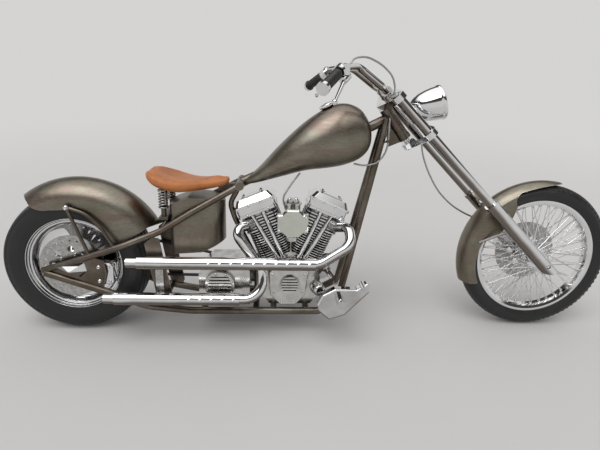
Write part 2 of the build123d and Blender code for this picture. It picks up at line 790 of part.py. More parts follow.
disc_y = rear_hub_width / 2
with BuildPart() as rear_caliper:
    with BuildSketch(side_plane(14 - disc_y, rear_axle_x)):
        with Locations((142, 292)):
            RectangleRounded(84, 100, 20)
    extrude(amount=44)
    fillet(faces().sort_by(Axis.Y)[0].edges(), 5)
    for z in (330, 265):
        rod(by_rear(127, 4 - disc_y - 20, z), by_rear(127, 8 - half_stays, z), 22)
    with BuildSketch(side_plane(4 - disc_y, rear_axle_x)):
        with Locations((0, rear_axle_z)):
            Circle(rear_disc_radius + 4)
    extrude(amount=disc_thickness + 9, mode=Mode.SUBTRACT)
    cut_by(frame_plates, upper_stays)
keep("rear_caliper", rear_caliper)

# Fender struts down to the upper stays, a curved and a straight one from each bolt
with BuildPart() as fender_struts:
    rod(by_rear(9.5, 2 - fender_half, 592), by_rear(9.5, -fender_half - 20, 592), 26)
    bent_tube([by_rear(9.5, -fender_half - 12, 592), by_rear(87.5, -fender_half - 15, 566),
               by_rear(147.5, -fender_half - 20, 505), by_rear(196.5, 4 - half_stays, 426)], 120, 15)
    rod(by_rear(9.5, -fender_half - 14, 590), by_rear(88.5, 4 - half_stays, 390), 15)
    mirror(about=Plane.XZ)
    cut_by(rear_fender, upper_stays, frame_plates)
keep("fender_struts", fender_struts)

# Side stand
ground_up = Vector(0, -sin(radians(lean_angle)), cos(radians(lean_angle)))
stand_foot = Vector(50, stand_reach, stand_reach * tan(radians(lean_angle)))
with BuildPart() as side_stand:
    rod(stand_pivot - stand_axis * 11, stand_pivot + stand_axis * 11, 34)
    rod(stand_pivot, stand_foot + ground_up * 10, stand_diameter)
    rod(stand_foot - ground_up * 0.3, stand_foot + ground_up * 6, 46)
    rod(stand_pivot - stand_axis * 12, stand_pivot + stand_axis * 12,
        stand_pin_diameter + 2 * bearing_clearance, Mode.SUBTRACT)
keep("side_stand", side_stand)

# Fork
def tree_plane(height):
    """Across the legs: local x runs left, local y runs back, the normal points up the fork."""
    return Plane(leg_point(height, 0), x_dir=(0, 1, 0), z_dir=-fork_down)


def stem_offset(height):
    """How far the stem's axis lies behind the legs on the tree plane of this height."""
    plane = tree_plane(height)
    gap = (plane.origin - neck_centre).dot(fork_down) / neck_down.dot(fork_down)
    return plane.to_local_coords(neck_centre + neck_down * gap).Y


with BuildPart() as fork_tubes:
    for y in (-half_legs, half_legs):
        rod(leg_point(leg_top, y), leg_point(slider_top - 60, y), fork_tube_diameter)
keep("fork_tubes", fork_tubes)

# Both triple trees, joined by the stem that turns in the neck
tree_thickness = 26.0
with BuildPart() as fork_trees:
    for height, boss in ((lower_tree_height, 60), (upper_tree_height, 56)):
        with BuildSketch(tree_plane(height - tree_thickness / 2)):
            with Locations((-half_legs, 0), (half_legs, 0)):
                Circle(fork_tube_diameter / 2 + 11)
            with Locations((0, stem_offset(height))):
                Circle(boss / 2)
            make_hull()
        extrude(amount=tree_thickness)
    rod(neck_foot + neck_down * 44, neck_top - neck_down * 32, stem_diameter)
    rod(neck_foot + neck_down * 34, neck_foot + neck_down * 50, 42)
    cut_by(fork_tubes)
keep("fork_trees", fork_trees)

# Front fender: a deep skirted hoop over the back of the front wheel
front_section = wheel_plane(front_axle_x, front_axle_z)
front_axle_line = Axis((front_axle_x, 0, front_axle_z), (0, 1, 0))
with BuildPart() as front_fender:
    with BuildSketch(front_section) as hoop:
        with BuildLine():
            Line((-60, 240), (-60, 338))
            ThreePointArc((-60, 338), (0, 370), (60, 338))
            Polyline((60, 338), (60, 240), (57, 240), (57, 337))
            ThreePointArc((57, 337), (0, 367), (-57, 337))
            Polyline((-57, 337), (-57, 240), (-60, 240))
        make_face()
    revolve(axis=front_axle_line, revolution_arc=11)
    revolve(hoop.sketch, axis=front_axle_line, revolution_arc=-114)
    with BuildSketch(side_plane(-100, front_axle_x)):
        with BuildLine():
            Line((-420, 226), (-274, 226))
            ThreePointArc((-274, 226), (-300, 353), (-276, 442))
            Line((-276, 442), (-235, 456))
            ThreePointArc((-235, 456), (-176, 520), (-143, 610))
            ThreePointArc((-143, 610), (-150, 648), (-118, 678))
            ThreePointArc((-118, 678), (-30, 702), (90, 712))
            Polyline((90, 712), (128, 150), (-420, 150), (-420, 226))
        make_face()
    extrude(amount=-200, mode=Mode.SUBTRACT)
keep("front_fender", front_fender)

# Sliders with their axle bosses and the front fender's brackets
with BuildPart() as fork_sliders:
    for y in (-half_legs, half_legs):
        rod(leg_point(slider_top, y), leg_point(-slider_foot, y), slider_diameter)
        rod(leg_point(slider_top + 8, y), leg_point(slider_top - 10, y), slider_diameter + 4)
    for y in (-1, 1):
        rod(leg_point(345, y * 60), leg_point(345, y * 110), 24)
        rod(leg_point(240, y * 110), by_front(-298, y * 59.5, 436), 12)
    with Locations(by_front(30, 0, front_axle_z - 39 - 50)):
        Box(200, 2 * half_legs + 100, 100, mode=Mode.SUBTRACT)
    rod((front_axle_x, -160, front_axle_z), (front_axle_x, 160, front_axle_z), axle_diameter, Mode.SUBTRACT)
    cut_by(fork_tubes, front_fender)
keep("fork_sliders", fork_sliders)

with BuildPart() as front_axle:
    rod((front_axle_x, -half_legs - 10, front_axle_z), (front_axle_x, half_legs + 10, front_axle_z),
        axle_diameter)
    for side in (-1, 1):
        rod((front_axle_x, side * (front_hub_width / 2 + 2), front_axle_z),
            (front_axle_x, side * half_legs, front_axle_z), 30)
    cut_by(fork_sliders)
keep("front_axle", front_axle)

# Headlight
lamp_centre = by_neck(199, 0, 1063)
lamp_out = Vector(0.96, 0, 0.28).normalized()
with BuildPart() as headlight:
    with BuildSketch(Plane(lamp_centre, x_dir=lamp_out, z_dir=(0, -1, 0))):
        with BuildLine():
            Polyline((-8, 0), (-8, 66), (0, 66), (0, 76), (-18, 76), (-18, 72))
            ThreePointArc((-18, 72), (-110, 56), (-162, 10))
            Polyline((-162, 10), (-162, 0), (-8, 0))
        make_face()
    revolve(axis=Axis(lamp_centre, lamp_out))
    rod(leg_point(lower_tree_height + 6, 0), by_neck(105, 0, 1020), 22)
    cut_by(fork_trees)
keep("headlight", headlight)

with BuildPart() as headlight_lens:
    with BuildSketch(Plane(lamp_centre, x_dir=lamp_out, z_dir=(0, -1, 0))):
        with BuildLine():
            Polyline((-8, 0), (-8, 66), (-2, 66), (4, 44), (7, 20), (7, 0), close=True)
        make_face()
    revolve(axis=Axis(lamp_centre, lamp_out))
keep("headlight_lens", headlight_lens)

# Handlebar
bar_half = [by_neck(-60, 40, 1100), by_neck(-87, 78, 1118), by_neck(-195, 84, 1196), by_neck(-273, 230, 1186),
            by_neck(-360, handlebar_half, 1111)]
route = [Vector(point.X, -point.Y, point.Z) for point in reversed(bar_half)] + bar_half
with BuildPart() as handlebar:
    bent_tube(route, [60, 50, 30, 30, 30, 30, 50, 60], handlebar_diameter)
    for y in (-36, 36):
        rod(leg_point(upper_tree_height, y) + Vector(-20, 0, -10), by_neck(-60, y, 1100), 30)
        rod(by_neck(-60, y - 14, 1100), by_neck(-60, y + 14, 1100), 46)
    cut_by(fork_trees)
keep("handlebar", handlebar)

# Grips, each with a plated cap on its outer end
bar_end = bar_half[-1]
bar_inward = (bar_half[-2] - bar_end).normalized()
with BuildPart() as grips:
    rod(bar_end + bar_inward * 4, bar_end + bar_inward * 128, grip_diameter)
    mirror(about=Plane.XZ)
    cut_by(handlebar)
keep("grips", grips)

# Hand controls: clamp, reservoir, pivot block, tapered lever with a ball end, and the bar's end caps
lever_side = Vector(0.62, 0.05, -0.78).normalized()
pivot_place = bar_end + bar_inward * 152 + lever_side * 34
lever_tip = bar_end + bar_inward * 4 + lever_side * 62
with BuildPart() as hand_levers:
    rod(bar_end + bar_inward * 136, bar_end + bar_inward * 172, 50)
    rod(bar_end + bar_inward * 152, pivot_place, 26)
    rod(pivot_place - bar_inward * 22, pivot_place + bar_inward * 30, 30)
    with Locations(Plane(bar_end + bar_inward * 164 + lever_side * 22, x_dir=(1, 0, 0), z_dir=(0, 0, 1))):
        Cylinder(21, 40, align=(Align.CENTER, Align.CENTER, Align.MIN))
    lever_run = (lever_tip - pivot_place).normalized()
    for end, size in ((pivot_place + lever_run * 12, 9), (lever_tip, 5.5)):
        with BuildSketch(Plane(end, z_dir=lever_run)):
            Circle(size)
    loft()
    with Locations(lever_tip):
        Sphere(11)
    rod(bar_end - bar_inward * 12, bar_end + bar_inward * 3.5, grip_diameter + 8)
    mirror(about=Plane.XZ)
    cut_by(handlebar, grips)
keep("hand_levers", hand_levers)

# Front wheel
with BuildPart() as front_tyre:
    with BuildSketch(front_section):
        with BuildLine():
            half = front_tyre_width / 2
            lip = front_rim_width / 2
            bead = lip - 4
            Line((-bead, 268), (bead, 268))
            Polyline((bead, 268), (bead, front_rim_radius), (lip, front_rim_radius))
            ThreePointArc((lip, front_rim_radius), (half, 314), (half - 8, 332))
            ThreePointArc((half - 8, 332), (0, front_tyre_radius), (8 - half, 332))
            ThreePointArc((8 - half, 332), (-half, 314), (-lip, front_rim_radius))
            Polyline((-lip, front_rim_radius), (-bead, front_rim_radius), (-bead, 268))
        make_face()
    revolve(axis=front_axle_line)
keep("front_tyre", front_tyre)

with BuildPart() as front_rim:
    with BuildSketch(front_section):
        with BuildLine():
            Polyline((-lip, front_rim_radius), (-bead, front_rim_radius), (-bead, 268), (bead, 268),
                     (bead, front_rim_radius), (lip, front_rim_radius), (lip, 270), (24, 259), (12, 254),
                     (-12, 254), (-24, 259), (-lip, 270), close=True)
        make_face()
    revolve(axis=front_axle_line)
keep("front_rim", front_rim)

with BuildPart() as front_hub:
    with BuildSketch(front_section):
        with BuildLine():
            half = front_hub_width / 2
            bore = axle_diameter / 2 + bearing_clearance
            Polyline((-half, bore), (half, bore), (half, 30), (46, 30), (46, 52), (38, 52), (38, 30), (0, 22),
                     (-38, 30), (-38, 52), (-46, 52), (-46, 30), (-half, 30), close=True)
        make_face()
    revolve(axis=front_axle_line)
keep("front_hub", front_hub)

with BuildPart() as front_spokes:
    for side in (-1, 1):
        for turn in range(2 * spoke_pairs):
            angle = radians(turn * 180 / spoke_pairs)
            lead = radians(46 if turn % 2 else -46)
            hub_y = side * (37 if turn % 2 else 47)
            foot = by_front(spoke_circle * cos(angle - lead), hub_y,
                            front_axle_z + spoke_circle * sin(angle - lead))
            top = by_front(256 * cos(angle), side * 7, front_axle_z + 256 * sin(angle))
            rod(foot, top, spoke_diameter)
    cut_by(front_hub, front_rim)
keep("front_spokes", front_spokes)

with BuildPart() as front_disc:
    with BuildSketch(side_plane(front_hub_width / 2)):
        with Locations((front_axle_x, front_axle_z)):
            Circle(front_disc_radius)
            Circle(26, mode=Mode.SUBTRACT)
            with PolarLocations(70, 6):
                Circle(17, mode=Mode.SUBTRACT)
            with PolarLocations(120, 24):
                Circle(4, mode=Mode.SUBTRACT)
    extrude(amount=-disc_thickness)
keep("front_disc", front_disc)

with BuildPart() as front_caliper:
    with BuildSketch(side_plane(front_hub_width / 2 - 9, front_axle_x)):
        with Locations((-120, 420)):
            RectangleRounded(66, 92, 14)
    extrude(amount=-36)
    with BuildSketch(side_plane(front_hub_width / 2 - 4)):
        with Locations((front_axle_x, front_axle_z)):
            Circle(front_disc_radius + 5)
    extrude(amount=-(disc_thickness + 8), mode=Mode.SUBTRACT)
    cut_by(fork_sliders)
keep("front_caliper", front_caliper)

# Cables and hoses, each bend as wide as its runs allow
hose_diameter = 8.0
with BuildPart() as throttle_cable:
    cord(throttle_route, cable_diameter)
    cut_by(fuel_tank)
keep("throttle_cable", throttle_cable)

with BuildPart() as fuel_hose:
    cord([(-72, -60, 748), (-112, -74, 697), (-148, -88, 640), (-132, -80, 588)], hose_diameter)
    cut_by(fuel_tank, carburettor)
keep("fuel_hose", fuel_hose)

with BuildPart() as control_cables:
    cord([by_neck(-249, -186, 1187), by_neck(-225, -160, 1224), by_neck(-169, -132, 1232),
          by_neck(-99, -104, 1204), by_neck(-45, -80, 1160), by_neck(-27, -62, 1106),
          by_neck(-39, -54, 1074)], cable_diameter)
    cut_by(fork_trees, handlebar, hand_levers)
keep("control_cables", control_cables)

with BuildPart() as brake_hose:
    cord([by_neck(129, 28, 920), by_neck(144, 34, 832), by_neck(183, 46, 748), by_neck(247, 62, 650),
          by_front(-398.5, 76, 576), by_front(-310.5, 82, 528), by_front(-222.5, 78, 500),
          by_front(-142.5, 84, 452)], hose_diameter)
    cut_by(fork_trees, front_caliper)
keep("brake_hose", brake_hose)

# Stance: leaned over to the left, with the origin at the middle of its outer box, on the ground
lean = Location((0, 0, 0), (-lean_angle, 0, 0))
boxes = [piece.part.moved(lean).bounding_box() for piece in pieces.values()]
low = Vector(min(b.min.X for b in boxes), min(b.min.Y for b in boxes), min(b.min.Z for b in boxes))
high = Vector(max(b.max.X for b in boxes), max(b.max.Y for b in boxes), max(b.max.Z for b in boxes))
stance = Location((-(low.X + high.X) / 2, -(low.Y + high.Y) / 2, -low.Z), (-lean_angle, 0, 0))

os.makedirs("parts", exist_ok=True)
for name, piece in pieces.items():
    standing = piece.part.moved(stance)
    standing.label = name
    export_step(standing, f"parts/{name}.step")
print("size", high - low, "stance", stance)
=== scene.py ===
import bpy
import bmesh
import json
import math
from mathutils import Matrix, Vector


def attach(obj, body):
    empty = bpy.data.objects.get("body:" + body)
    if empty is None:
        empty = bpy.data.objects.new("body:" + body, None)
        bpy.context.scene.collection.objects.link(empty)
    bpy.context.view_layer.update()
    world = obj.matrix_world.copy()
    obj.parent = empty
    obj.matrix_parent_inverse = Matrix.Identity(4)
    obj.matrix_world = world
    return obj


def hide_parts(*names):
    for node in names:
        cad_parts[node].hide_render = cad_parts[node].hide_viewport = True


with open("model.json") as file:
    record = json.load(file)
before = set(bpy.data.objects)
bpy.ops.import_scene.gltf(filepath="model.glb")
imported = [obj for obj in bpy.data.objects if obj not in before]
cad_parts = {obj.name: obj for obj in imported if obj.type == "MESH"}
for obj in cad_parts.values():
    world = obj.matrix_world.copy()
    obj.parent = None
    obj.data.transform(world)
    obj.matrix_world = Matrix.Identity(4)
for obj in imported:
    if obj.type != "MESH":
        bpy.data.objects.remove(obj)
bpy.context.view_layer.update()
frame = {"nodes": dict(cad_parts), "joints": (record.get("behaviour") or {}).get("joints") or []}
cad = frame["nodes"]
print("frame loaded:", len(cad), "nodes")

# Sizes are in millimetres on the upright machine; place() leans it and brings it to the frame's metres
stance = {
    "lean": 4.2,
    "frontAxle": (1072.5, 0, 353),
    "rearAxle": (-1072.5, 0, 320),
}


def leaned(x, y, z):
    turn = math.radians(stance["lean"])
    return Vector((x, y * math.cos(turn) + z * math.sin(turn), z * math.cos(turn) - y * math.sin(turn)))


spin = next(joint for joint in frame["joints"] if joint["name"] == "front_wheel_spin")
stanceShift = Vector(spin["pos_m"]) - leaned(*stance["frontAxle"]) / 1000


def place(x, y, z):
    return leaned(x, y, z) / 1000 + stanceShift


def facing(x, y, z):
    return leaned(x, y, z).normalized()


# Mesh helpers

def addObject(name, data):
    made = bpy.data.objects.new(name, data)
    bpy.context.scene.collection.objects.link(made)
    return made


def meshObject(name, points, faces, smooth=True):
    mesh = bpy.data.meshes.new(name)
    mesh.from_pydata([tuple(point) for point in points], [], faces)
    shape = bmesh.new()
    shape.from_mesh(mesh)
    bmesh.ops.remove_doubles(shape, verts=shape.verts, dist=0.00001)
    bmesh.ops.recalc_face_normals(shape, faces=shape.faces)
    shape.to_mesh(mesh)
    shape.free()
    for face in mesh.polygons:
        face.use_smooth = smooth
    return addObject(name, mesh)


def skinRings(name, rings, closedRing=True, capEnds=True, closedRow=False):
    # Quads between rings of points, with the first and last ring filled
    count = len(rings[0])
    points = [point for ring in rings for point in ring]
    faces = []
    rows = len(rings) if closedRow else len(rings) - 1
    for row in range(rows):
        below = (row + 1) % len(rings)
        for step in range(count if closedRing else count - 1):
            ahead = (step + 1) % count
            faces.append((row * count + step, row * count + ahead,
                          below * count + ahead, below * count + step))
    if capEnds and not closedRow:
        faces.append(tuple(reversed(range(count))))
        faces.append(tuple(range(len(points) - count, len(points))))
    return meshObject(name, points, faces)


def swollen(value, power):
    # A power of the value that keeps its sign
    return math.copysign(abs(value) ** power, value)


def smoothRow(keys, steps):
    # Values between keyed rows, on a curve through them (Catmull-Rom), the first column being the place
    rows = []
    for index in range(len(keys) - 1):
        a, b = keys[index], keys[index + 1]
        before = keys[index - 1] if index else [2 * p - q for p, q in zip(a, b)]
        after = keys[index + 2] if index + 2 < len(keys) else [2 * q - p for p, q in zip(a, b)]
        for step in range(steps):
            t = step / steps
            rows.append([0.5 * (2 * p + (q - o) * t + (2 * o - 5 * p + 4 * q - r) * t * t
                                + (3 * p - o - 3 * q + r) * t ** 3)
                         for o, p, q, r in zip(before, a, b, after)])
    rows.append(list(keys[-1]))
    return rows


def latheAbout(name, centre, axis, profile, segments, closed=False):
    # Spins (along, radius) pairs in millimetres about an axis
    axis = Vector(axis).normalized()
    side = axis.orthogonal().normalized()
    up = axis.cross(side)
    rings = []
    for turn in range(segments):
        angle = 2 * math.pi * turn / segments
        out = side * math.cos(angle) + up * math.sin(angle)
        rings.append([centre + (axis * along + out * radius) / 1000 for along, radius in profile])
    return skinRings(name, rings, closedRing=closed, capEnds=False, closedRow=True)


def tubeAlong(name, path, radius, segments):
    rings = []
    reference = Vector((0, 0, 1))
    for index, point in enumerate(path):
        ahead = (path[min(index + 1, len(path) - 1)] - path[max(index - 1, 0)]).normalized()
        if abs(ahead.dot(reference)) > 0.95:
            reference = Vector((1, 0, 0))
        side = ahead.cross(reference).normalized()
        up = side.cross(ahead)
        reference = up
        turns = [2 * math.pi * k / segments for k in range(segments)]
        rings.append([point + (side * math.cos(t) + up * math.sin(t)) * radius / 1000 for t in turns])
    return skinRings(name, rings)


def joinPieces(name, made):
    points, faces = [], []
    for piece in made:
        base = len(points)
        points += [vertex.co.copy() for vertex in piece.data.vertices]
        faces += [tuple(base + v for v in face.vertices) for face in piece.data.polygons]
        bpy.data.objects.remove(piece)
    return meshObject(name, points, faces)


def addSubdivision(piece):
    modifier = piece.modifiers.new("smooth", "SUBSURF")
    modifier.levels = 1
    modifier.render_levels = 1


def dress(piece, material, body, *nodes):
    piece.data.materials.clear()
    piece.data.materials.append(material)
    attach(piece, body)
    if nodes:
        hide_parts(*nodes)
    return piece


# Node helpers

def feed(tree, sockets, inputs):
    # Links what comes from another node and sets the rest
    for key, value in (inputs or {}).items():
        if isinstance(value, bpy.types.NodeSocket):
            tree.links.new(value, sockets[key])
        else:
            sockets[key].default_value = value


def newTree(name, inputs):
    tree = bpy.data.node_groups.new(name, "GeometryNodeTree")
    tree.interface.new_socket("Geometry", in_out="INPUT", socket_type="NodeSocketGeometry")
    for label, kind in inputs:
        tree.interface.new_socket(label, in_out="INPUT", socket_type="NodeSocket" + kind)
    tree.interface.new_socket("Geometry", in_out="OUTPUT", socket_type="NodeSocketGeometry")
    return tree, tree.nodes.new("NodeGroupInput").outputs, tree.nodes.new("NodeGroupOutput").inputs


def addStep(tree, kind, inputs=None, settings=None):
    made = tree.nodes.new(kind)
    for key, value in (settings or {}).items():
        setattr(made, key, value)
    feed(tree, made.inputs, inputs)
    return made


def setCopies(tree, piece, points, turns, finish, out):
    # A copy of the piece on every point, made real and given its finish
    unit = addStep(tree, "GeometryNodeObjectInfo", {"Object": piece})
    copies = addStep(tree, "GeometryNodeInstanceOnPoints",
                     {"Points": points.outputs[0], "Instance": unit.outputs["Geometry"], **turns})
    solid = addStep(tree, "GeometryNodeRealizeInstances", {0: copies.outputs[0]})
    coloured = addStep(tree, "GeometryNodeSetMaterial", {"Geometry": solid.outputs[0], "Material": finish})
    feed(tree, out, {0: coloured.outputs[0]})


def makeRoundTree():
    # Repeats a piece about an axis
    tree, given, out = newTree("repeatRound", [("Piece", "Object"), ("Count", "Int"), ("Axis", "Vector"),
                                               ("Centre", "Vector"), ("Finish", "Material")])
    points = addStep(tree, "GeometryNodePoints", {"Count": given["Count"], "Position": given["Centre"]})
    number = addStep(tree, "GeometryNodeInputIndex").outputs[0]
    share = addStep(tree, "ShaderNodeMath", {0: number, 1: given["Count"]}, {"operation": "DIVIDE"})
    angle = addStep(tree, "ShaderNodeMath", {0: share.outputs[0], 1: 2 * math.pi}, {"operation": "MULTIPLY"})
    turn = addStep(tree, "FunctionNodeAxisAngleToRotation",
                   {"Axis": given["Axis"], "Angle": angle.outputs[0]})
    setCopies(tree, given["Piece"], points, {"Rotation": turn.outputs[0]}, given["Finish"], out)
    return tree


def makeBoltTree():
    # Sets a bolt on every point, turned to its facing and scaled to its size
    tree, given, out = newTree("setBolts", [("Bolt", "Object"), ("Finish", "Material")])
    points = addStep(tree, "GeometryNodeMeshToPoints", {0: given["Geometry"]})
    way = addStep(tree, "GeometryNodeInputNamedAttribute", {"Name": "facing"}, {"data_type": "FLOAT_VECTOR"})
    size = addStep(tree, "GeometryNodeInputNamedAttribute", {"Name": "size"}, {"data_type": "FLOAT"})
    turn = addStep(tree, "FunctionNodeAlignRotationToVector", {"Vector": way.outputs[0]}, {"axis": "Z"})
    setCopies(tree, given["Bolt"], points, {"Rotation": turn.outputs[0], "Scale": size.outputs[0]},
              given["Finish"], out)
    return tree


roundTree = makeRoundTree()
boltTree = makeBoltTree()


def runTree(base, tree, values, name):
    # Runs a tree on an object and keeps only the plain mesh
    modifier = base.modifiers.new("nodes", "NODES")
    modifier.node_group = tree
    for item in tree.interface.items_tree:
        if item.in_out == "INPUT" and item.name in values:
            value = values[item.name]
            modifier[item.identifier] = tuple(value) if isinstance(value, Vector) else value
    base.update_tag()
    bpy.context.view_layer.update()
    evaluated = base.evaluated_get(bpy.context.evaluated_depsgraph_get())
    mesh = bpy.data.meshes.new_from_object(evaluated)
    mesh.name = name
    made = addObject(name, mesh)
    base.modifiers.remove(modifier)
    bpy.data.objects.remove(base)
    return made


def repeatRound(name, unit, count, centre, axis, material):
    base = meshObject(name + "Base", [Vector((0, 0, 0))], [])
    made = runTree(base, roundTree, {"Piece": unit, "Count": count, "Axis": axis, "Centre": centre,
                                     "Finish": material}, name)
    bpy.data.objects.remove(unit)
    return made


# A washer and a round head with a socket in it, as (height, radius) for a head of radius 1
boltLook = {
    "sides": 14,
    "profile": [(0, 1.25), (0.18, 1.25), (0.2, 1.0), (0.75, 1.0), (0.95, 0.82), (0.95, 0.5), (0.55, 0.46),
                (0.55, 0.01)],
}


def setBolts(name, table, material, body):
    # Each row: x, y, z, the way it faces, and its head's radius
    turns = [k * 2 * math.pi / boltLook["sides"] for k in range(boltLook["sides"])]
    unit = skinRings("boltUnit", [[Vector((r * math.cos(t), r * math.sin(t), a)) for t in turns]
                                  for a, r in boltLook["profile"]])
    base = bpy.data.meshes.new(name + "Points")
    base.from_pydata([tuple(place(x, y, z)) for x, y, z, way, size in table], [], [])
    base.attributes.new("facing", "FLOAT_VECTOR", "POINT")
    base.attributes.new("size", "FLOAT", "POINT")
    ways, sizes = base.attributes["facing"], base.attributes["size"]
    for index, (x, y, z, way, size) in enumerate(table):
        ways.data[index].vector = facing(*way)
        sizes.data[index].value = size / 1000
    holder = addObject(name + "Points", base)
    made = runTree(holder, boltTree, {"Bolt": unit, "Finish": material}, name)
    bpy.data.objects.remove(unit)
    for face in made.data.polygons:
        face.use_smooth = True
    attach(made, body)
    return made


# Shader helpers

def addNode(tree, kind, settings=None, inputs=None):
    return addStep(tree, "ShaderNode" + kind, inputs, settings)


def addRamp(tree, factor, low, high):
    # A soft step from black to white between two values of the factor
    ramp = addNode(tree, "MapRange", {"interpolation_type": "SMOOTHSTEP"},
                   {"Value": factor, "From Min": low, "From Max": high})
    return ramp.outputs["Result"]


def addMath(tree, operation, *values):
    return addNode(tree, "Math", {"operation": operation}, dict(enumerate(values))).outputs[0]


def mixColour(tree, factor, first, second, blendType="MIX"):
    mix = addNode(tree, "Mix", {"data_type": "RGBA", "blend_type": blendType, "clamp_factor": True})
    feed(tree, mix.inputs, {0: factor, 6: first, 7: second})
    return mix.outputs[2]


def newGroup(name, inputs):
    # A shader group with one output, a mask
    group = bpy.data.node_groups.new(name, "ShaderNodeTree")
    for label, kind, value in inputs:
        socket = group.interface.new_socket(label, in_out="INPUT", socket_type="NodeSocket" + kind)
        if value is not None:
            socket.default_value = value
    group.interface.new_socket("Mask", in_out="OUTPUT", socket_type="NodeSocketFloat")
    return group, group.nodes.new("NodeGroupInput").outputs, group.nodes.new("NodeGroupOutput").inputs


def addMask(tree, group, inputs):
    made = tree.nodes.new("ShaderNodeGroup")
    made.node_tree = group
    feed(tree, made.inputs, inputs)
    return made.outputs["Mask"]


def makeCloudGroup():
    # Patches of tone
    group, given, out = newGroup("cloudPatches", [("Vector", "Vector", None), ("Scale", "Float", 6.0),
                                                  ("Low", "Float", 0.35), ("High", "Float", 0.65)])
    broad = addNode(group, "TexNoise", None, {"Vector": given["Vector"], "Scale": given["Scale"],
                                              "Detail": 5.0, "Roughness": 0.6})
    feed(group, out, {"Mask": addRamp(group, broad.outputs[0], given["Low"], given["High"])})
    return group


def makeBrushGroup():
    # Long fine lines, as a sanding belt or a wire brush leaves
    group, given, out = newGroup("brushLines", [("Vector", "Vector", None), ("Stretch", "Vector", (1, 1, 1)),
                                                ("Turn", "Vector", (0, 0, 0)), ("Scale", "Float", 60.0)])
    turned = addNode(group, "Mapping", None, {"Vector": given["Vector"], "Rotation": given["Turn"],
                                              "Scale": given["Stretch"]})
    lines = addNode(group, "TexNoise", None, {"Vector": turned.outputs[0], "Scale": given["Scale"],
                                              "Detail": 6.0, "Roughness": 0.75})
    feed(group, out, {"Mask": lines.outputs[0]})
    return group


def makeEdgeGroup():
    # White along outer edges, where a finish rubs bright
    group, given, out = newGroup("edgeRub", [("Radius", "Float", 0.002), ("Low", "Float", 0.02),
                                             ("High", "Float", 0.25)])
    rounded = addNode(group, "Bevel", {"samples": 4}, {"Radius": given["Radius"]})
    true = addNode(group, "NewGeometry")
    dot = addNode(group, "VectorMath", {"operation": "DOT_PRODUCT"},
                  {0: rounded.outputs[0], 1: true.outputs["Normal"]})
    turned = addMath(group, "SUBTRACT", 1.0, dot.outputs["Value"])
    result = addNode(group, "MapRange", None, {"Value": turned, "From Min": given["Low"],
                                               "From Max": given["High"]})
    feed(group, out, {"Mask": result.outputs[0]})
    return group


def makeOcclusionGroup():
    # White in corners and between fins, where ambient occlusion finds shade; most materials paint shade
    # there, rubber paints dust there
    group, given, out = newGroup("cornerOcclusion", [("Distance", "Float", 0.02), ("Low", "Float", 0.35),
                                                 ("High", "Float", 0.9)])
    shade = addNode(group, "AmbientOcclusion", {"samples": 6}, {"Distance": given["Distance"]})
    outer = addRamp(group, shade.outputs["AO"], given["Low"], given["High"])
    feed(group, out, {"Mask": addMath(group, "SUBTRACT", 1.0, outer)})
    return group


def makePaintedUndersideGroup():
    # White on faces that look down, where the materials paint shade on steel and a brown reflection of the
    # ground on chrome
    group, given, out = newGroup("paintedUnderside", [("Vector", "Vector", None), ("Low", "Float", -0.4),
                                              ("High", "Float", 0.15), ("Amount", "Float", 0.8)])
    normal = addNode(group, "TexCoord").outputs["Normal"]
    height = addNode(group, "SeparateXYZ", None, {0: normal}).outputs["Z"]
    ripple = addNode(group, "TexNoise", None, {"Vector": given["Vector"], "Scale": 9.0, "Detail": 3.0})
    waver = 0.3
    shifted = addMath(group, "MULTIPLY_ADD", ripple.outputs[0], waver, height)
    below = addRamp(group, addMath(group, "SUBTRACT", shifted, waver / 2), given["High"], given["Low"])
    feed(group, out, {"Mask": addMath(group, "MULTIPLY", below, given["Amount"])})
    return group


cloudPatches = makeCloudGroup()
paintedUnderside = makePaintedUndersideGroup()
brushLines = makeBrushGroup()
edgeRub = makeEdgeGroup()
cornerOcclusion = makeOcclusionGroup()


def startMaterial(name, metallic=0.0):
    material = bpy.data.materials.new(name)
    material.use_nodes = True
    tree = material.node_tree
    shader = tree.nodes["Principled BSDF"]
    shader.inputs["Metallic"].default_value = metallic
    spot = addNode(tree, "TexCoord").outputs["Object"]
    return material, tree, shader, spot


def setBump(tree, shader, height, strength, distance):
    bump = addNode(tree, "Bump", None, {"Strength": strength, "Distance": distance, "Height": height})
    feed(tree, shader.inputs, {"Normal": bump.outputs[0]})


def setRoughness(tree, shader, mask, ends, maskEnds=(0.0, 1.0)):
    rough = addNode(tree, "MapRange", None, {"Value": mask, "From Min": maskEnds[0], "From Max": maskEnds[1],
                                             "To Min": ends[0], "To Max": ends[1]})
    feed(tree, shader.inputs, {"Roughness": rough.outputs[0]})


# Bare steel: brown and olive hand marks over grey, with faint rose heat tints and burnt weld patches
rawSteelLook = {
    # painted shade: the dark tone laid in corners and on faces that look down
    "dark": (0.07, 0.06, 0.046, 1),
    "olive": (0.215, 0.195, 0.145, 1),
    "pale": (0.3, 0.28, 0.235, 1),
    "rose": (0.26, 0.205, 0.175, 1),
    "burnt": (0.085, 0.062, 0.048, 1),
    "rubbed": (0.42, 0.4, 0.36, 1),
    "patchScale": 5.5,
    "line": (0.74, 0.73, 0.7, 1),
    "driftScale": 2.6,
    "lineScale": 46.0,
    "burnScale": 3.1,
    "roughness": (0.27, 0.44),
    # how strongly faces that look down are darkened with painted shade
    "shade": 0.5,
}


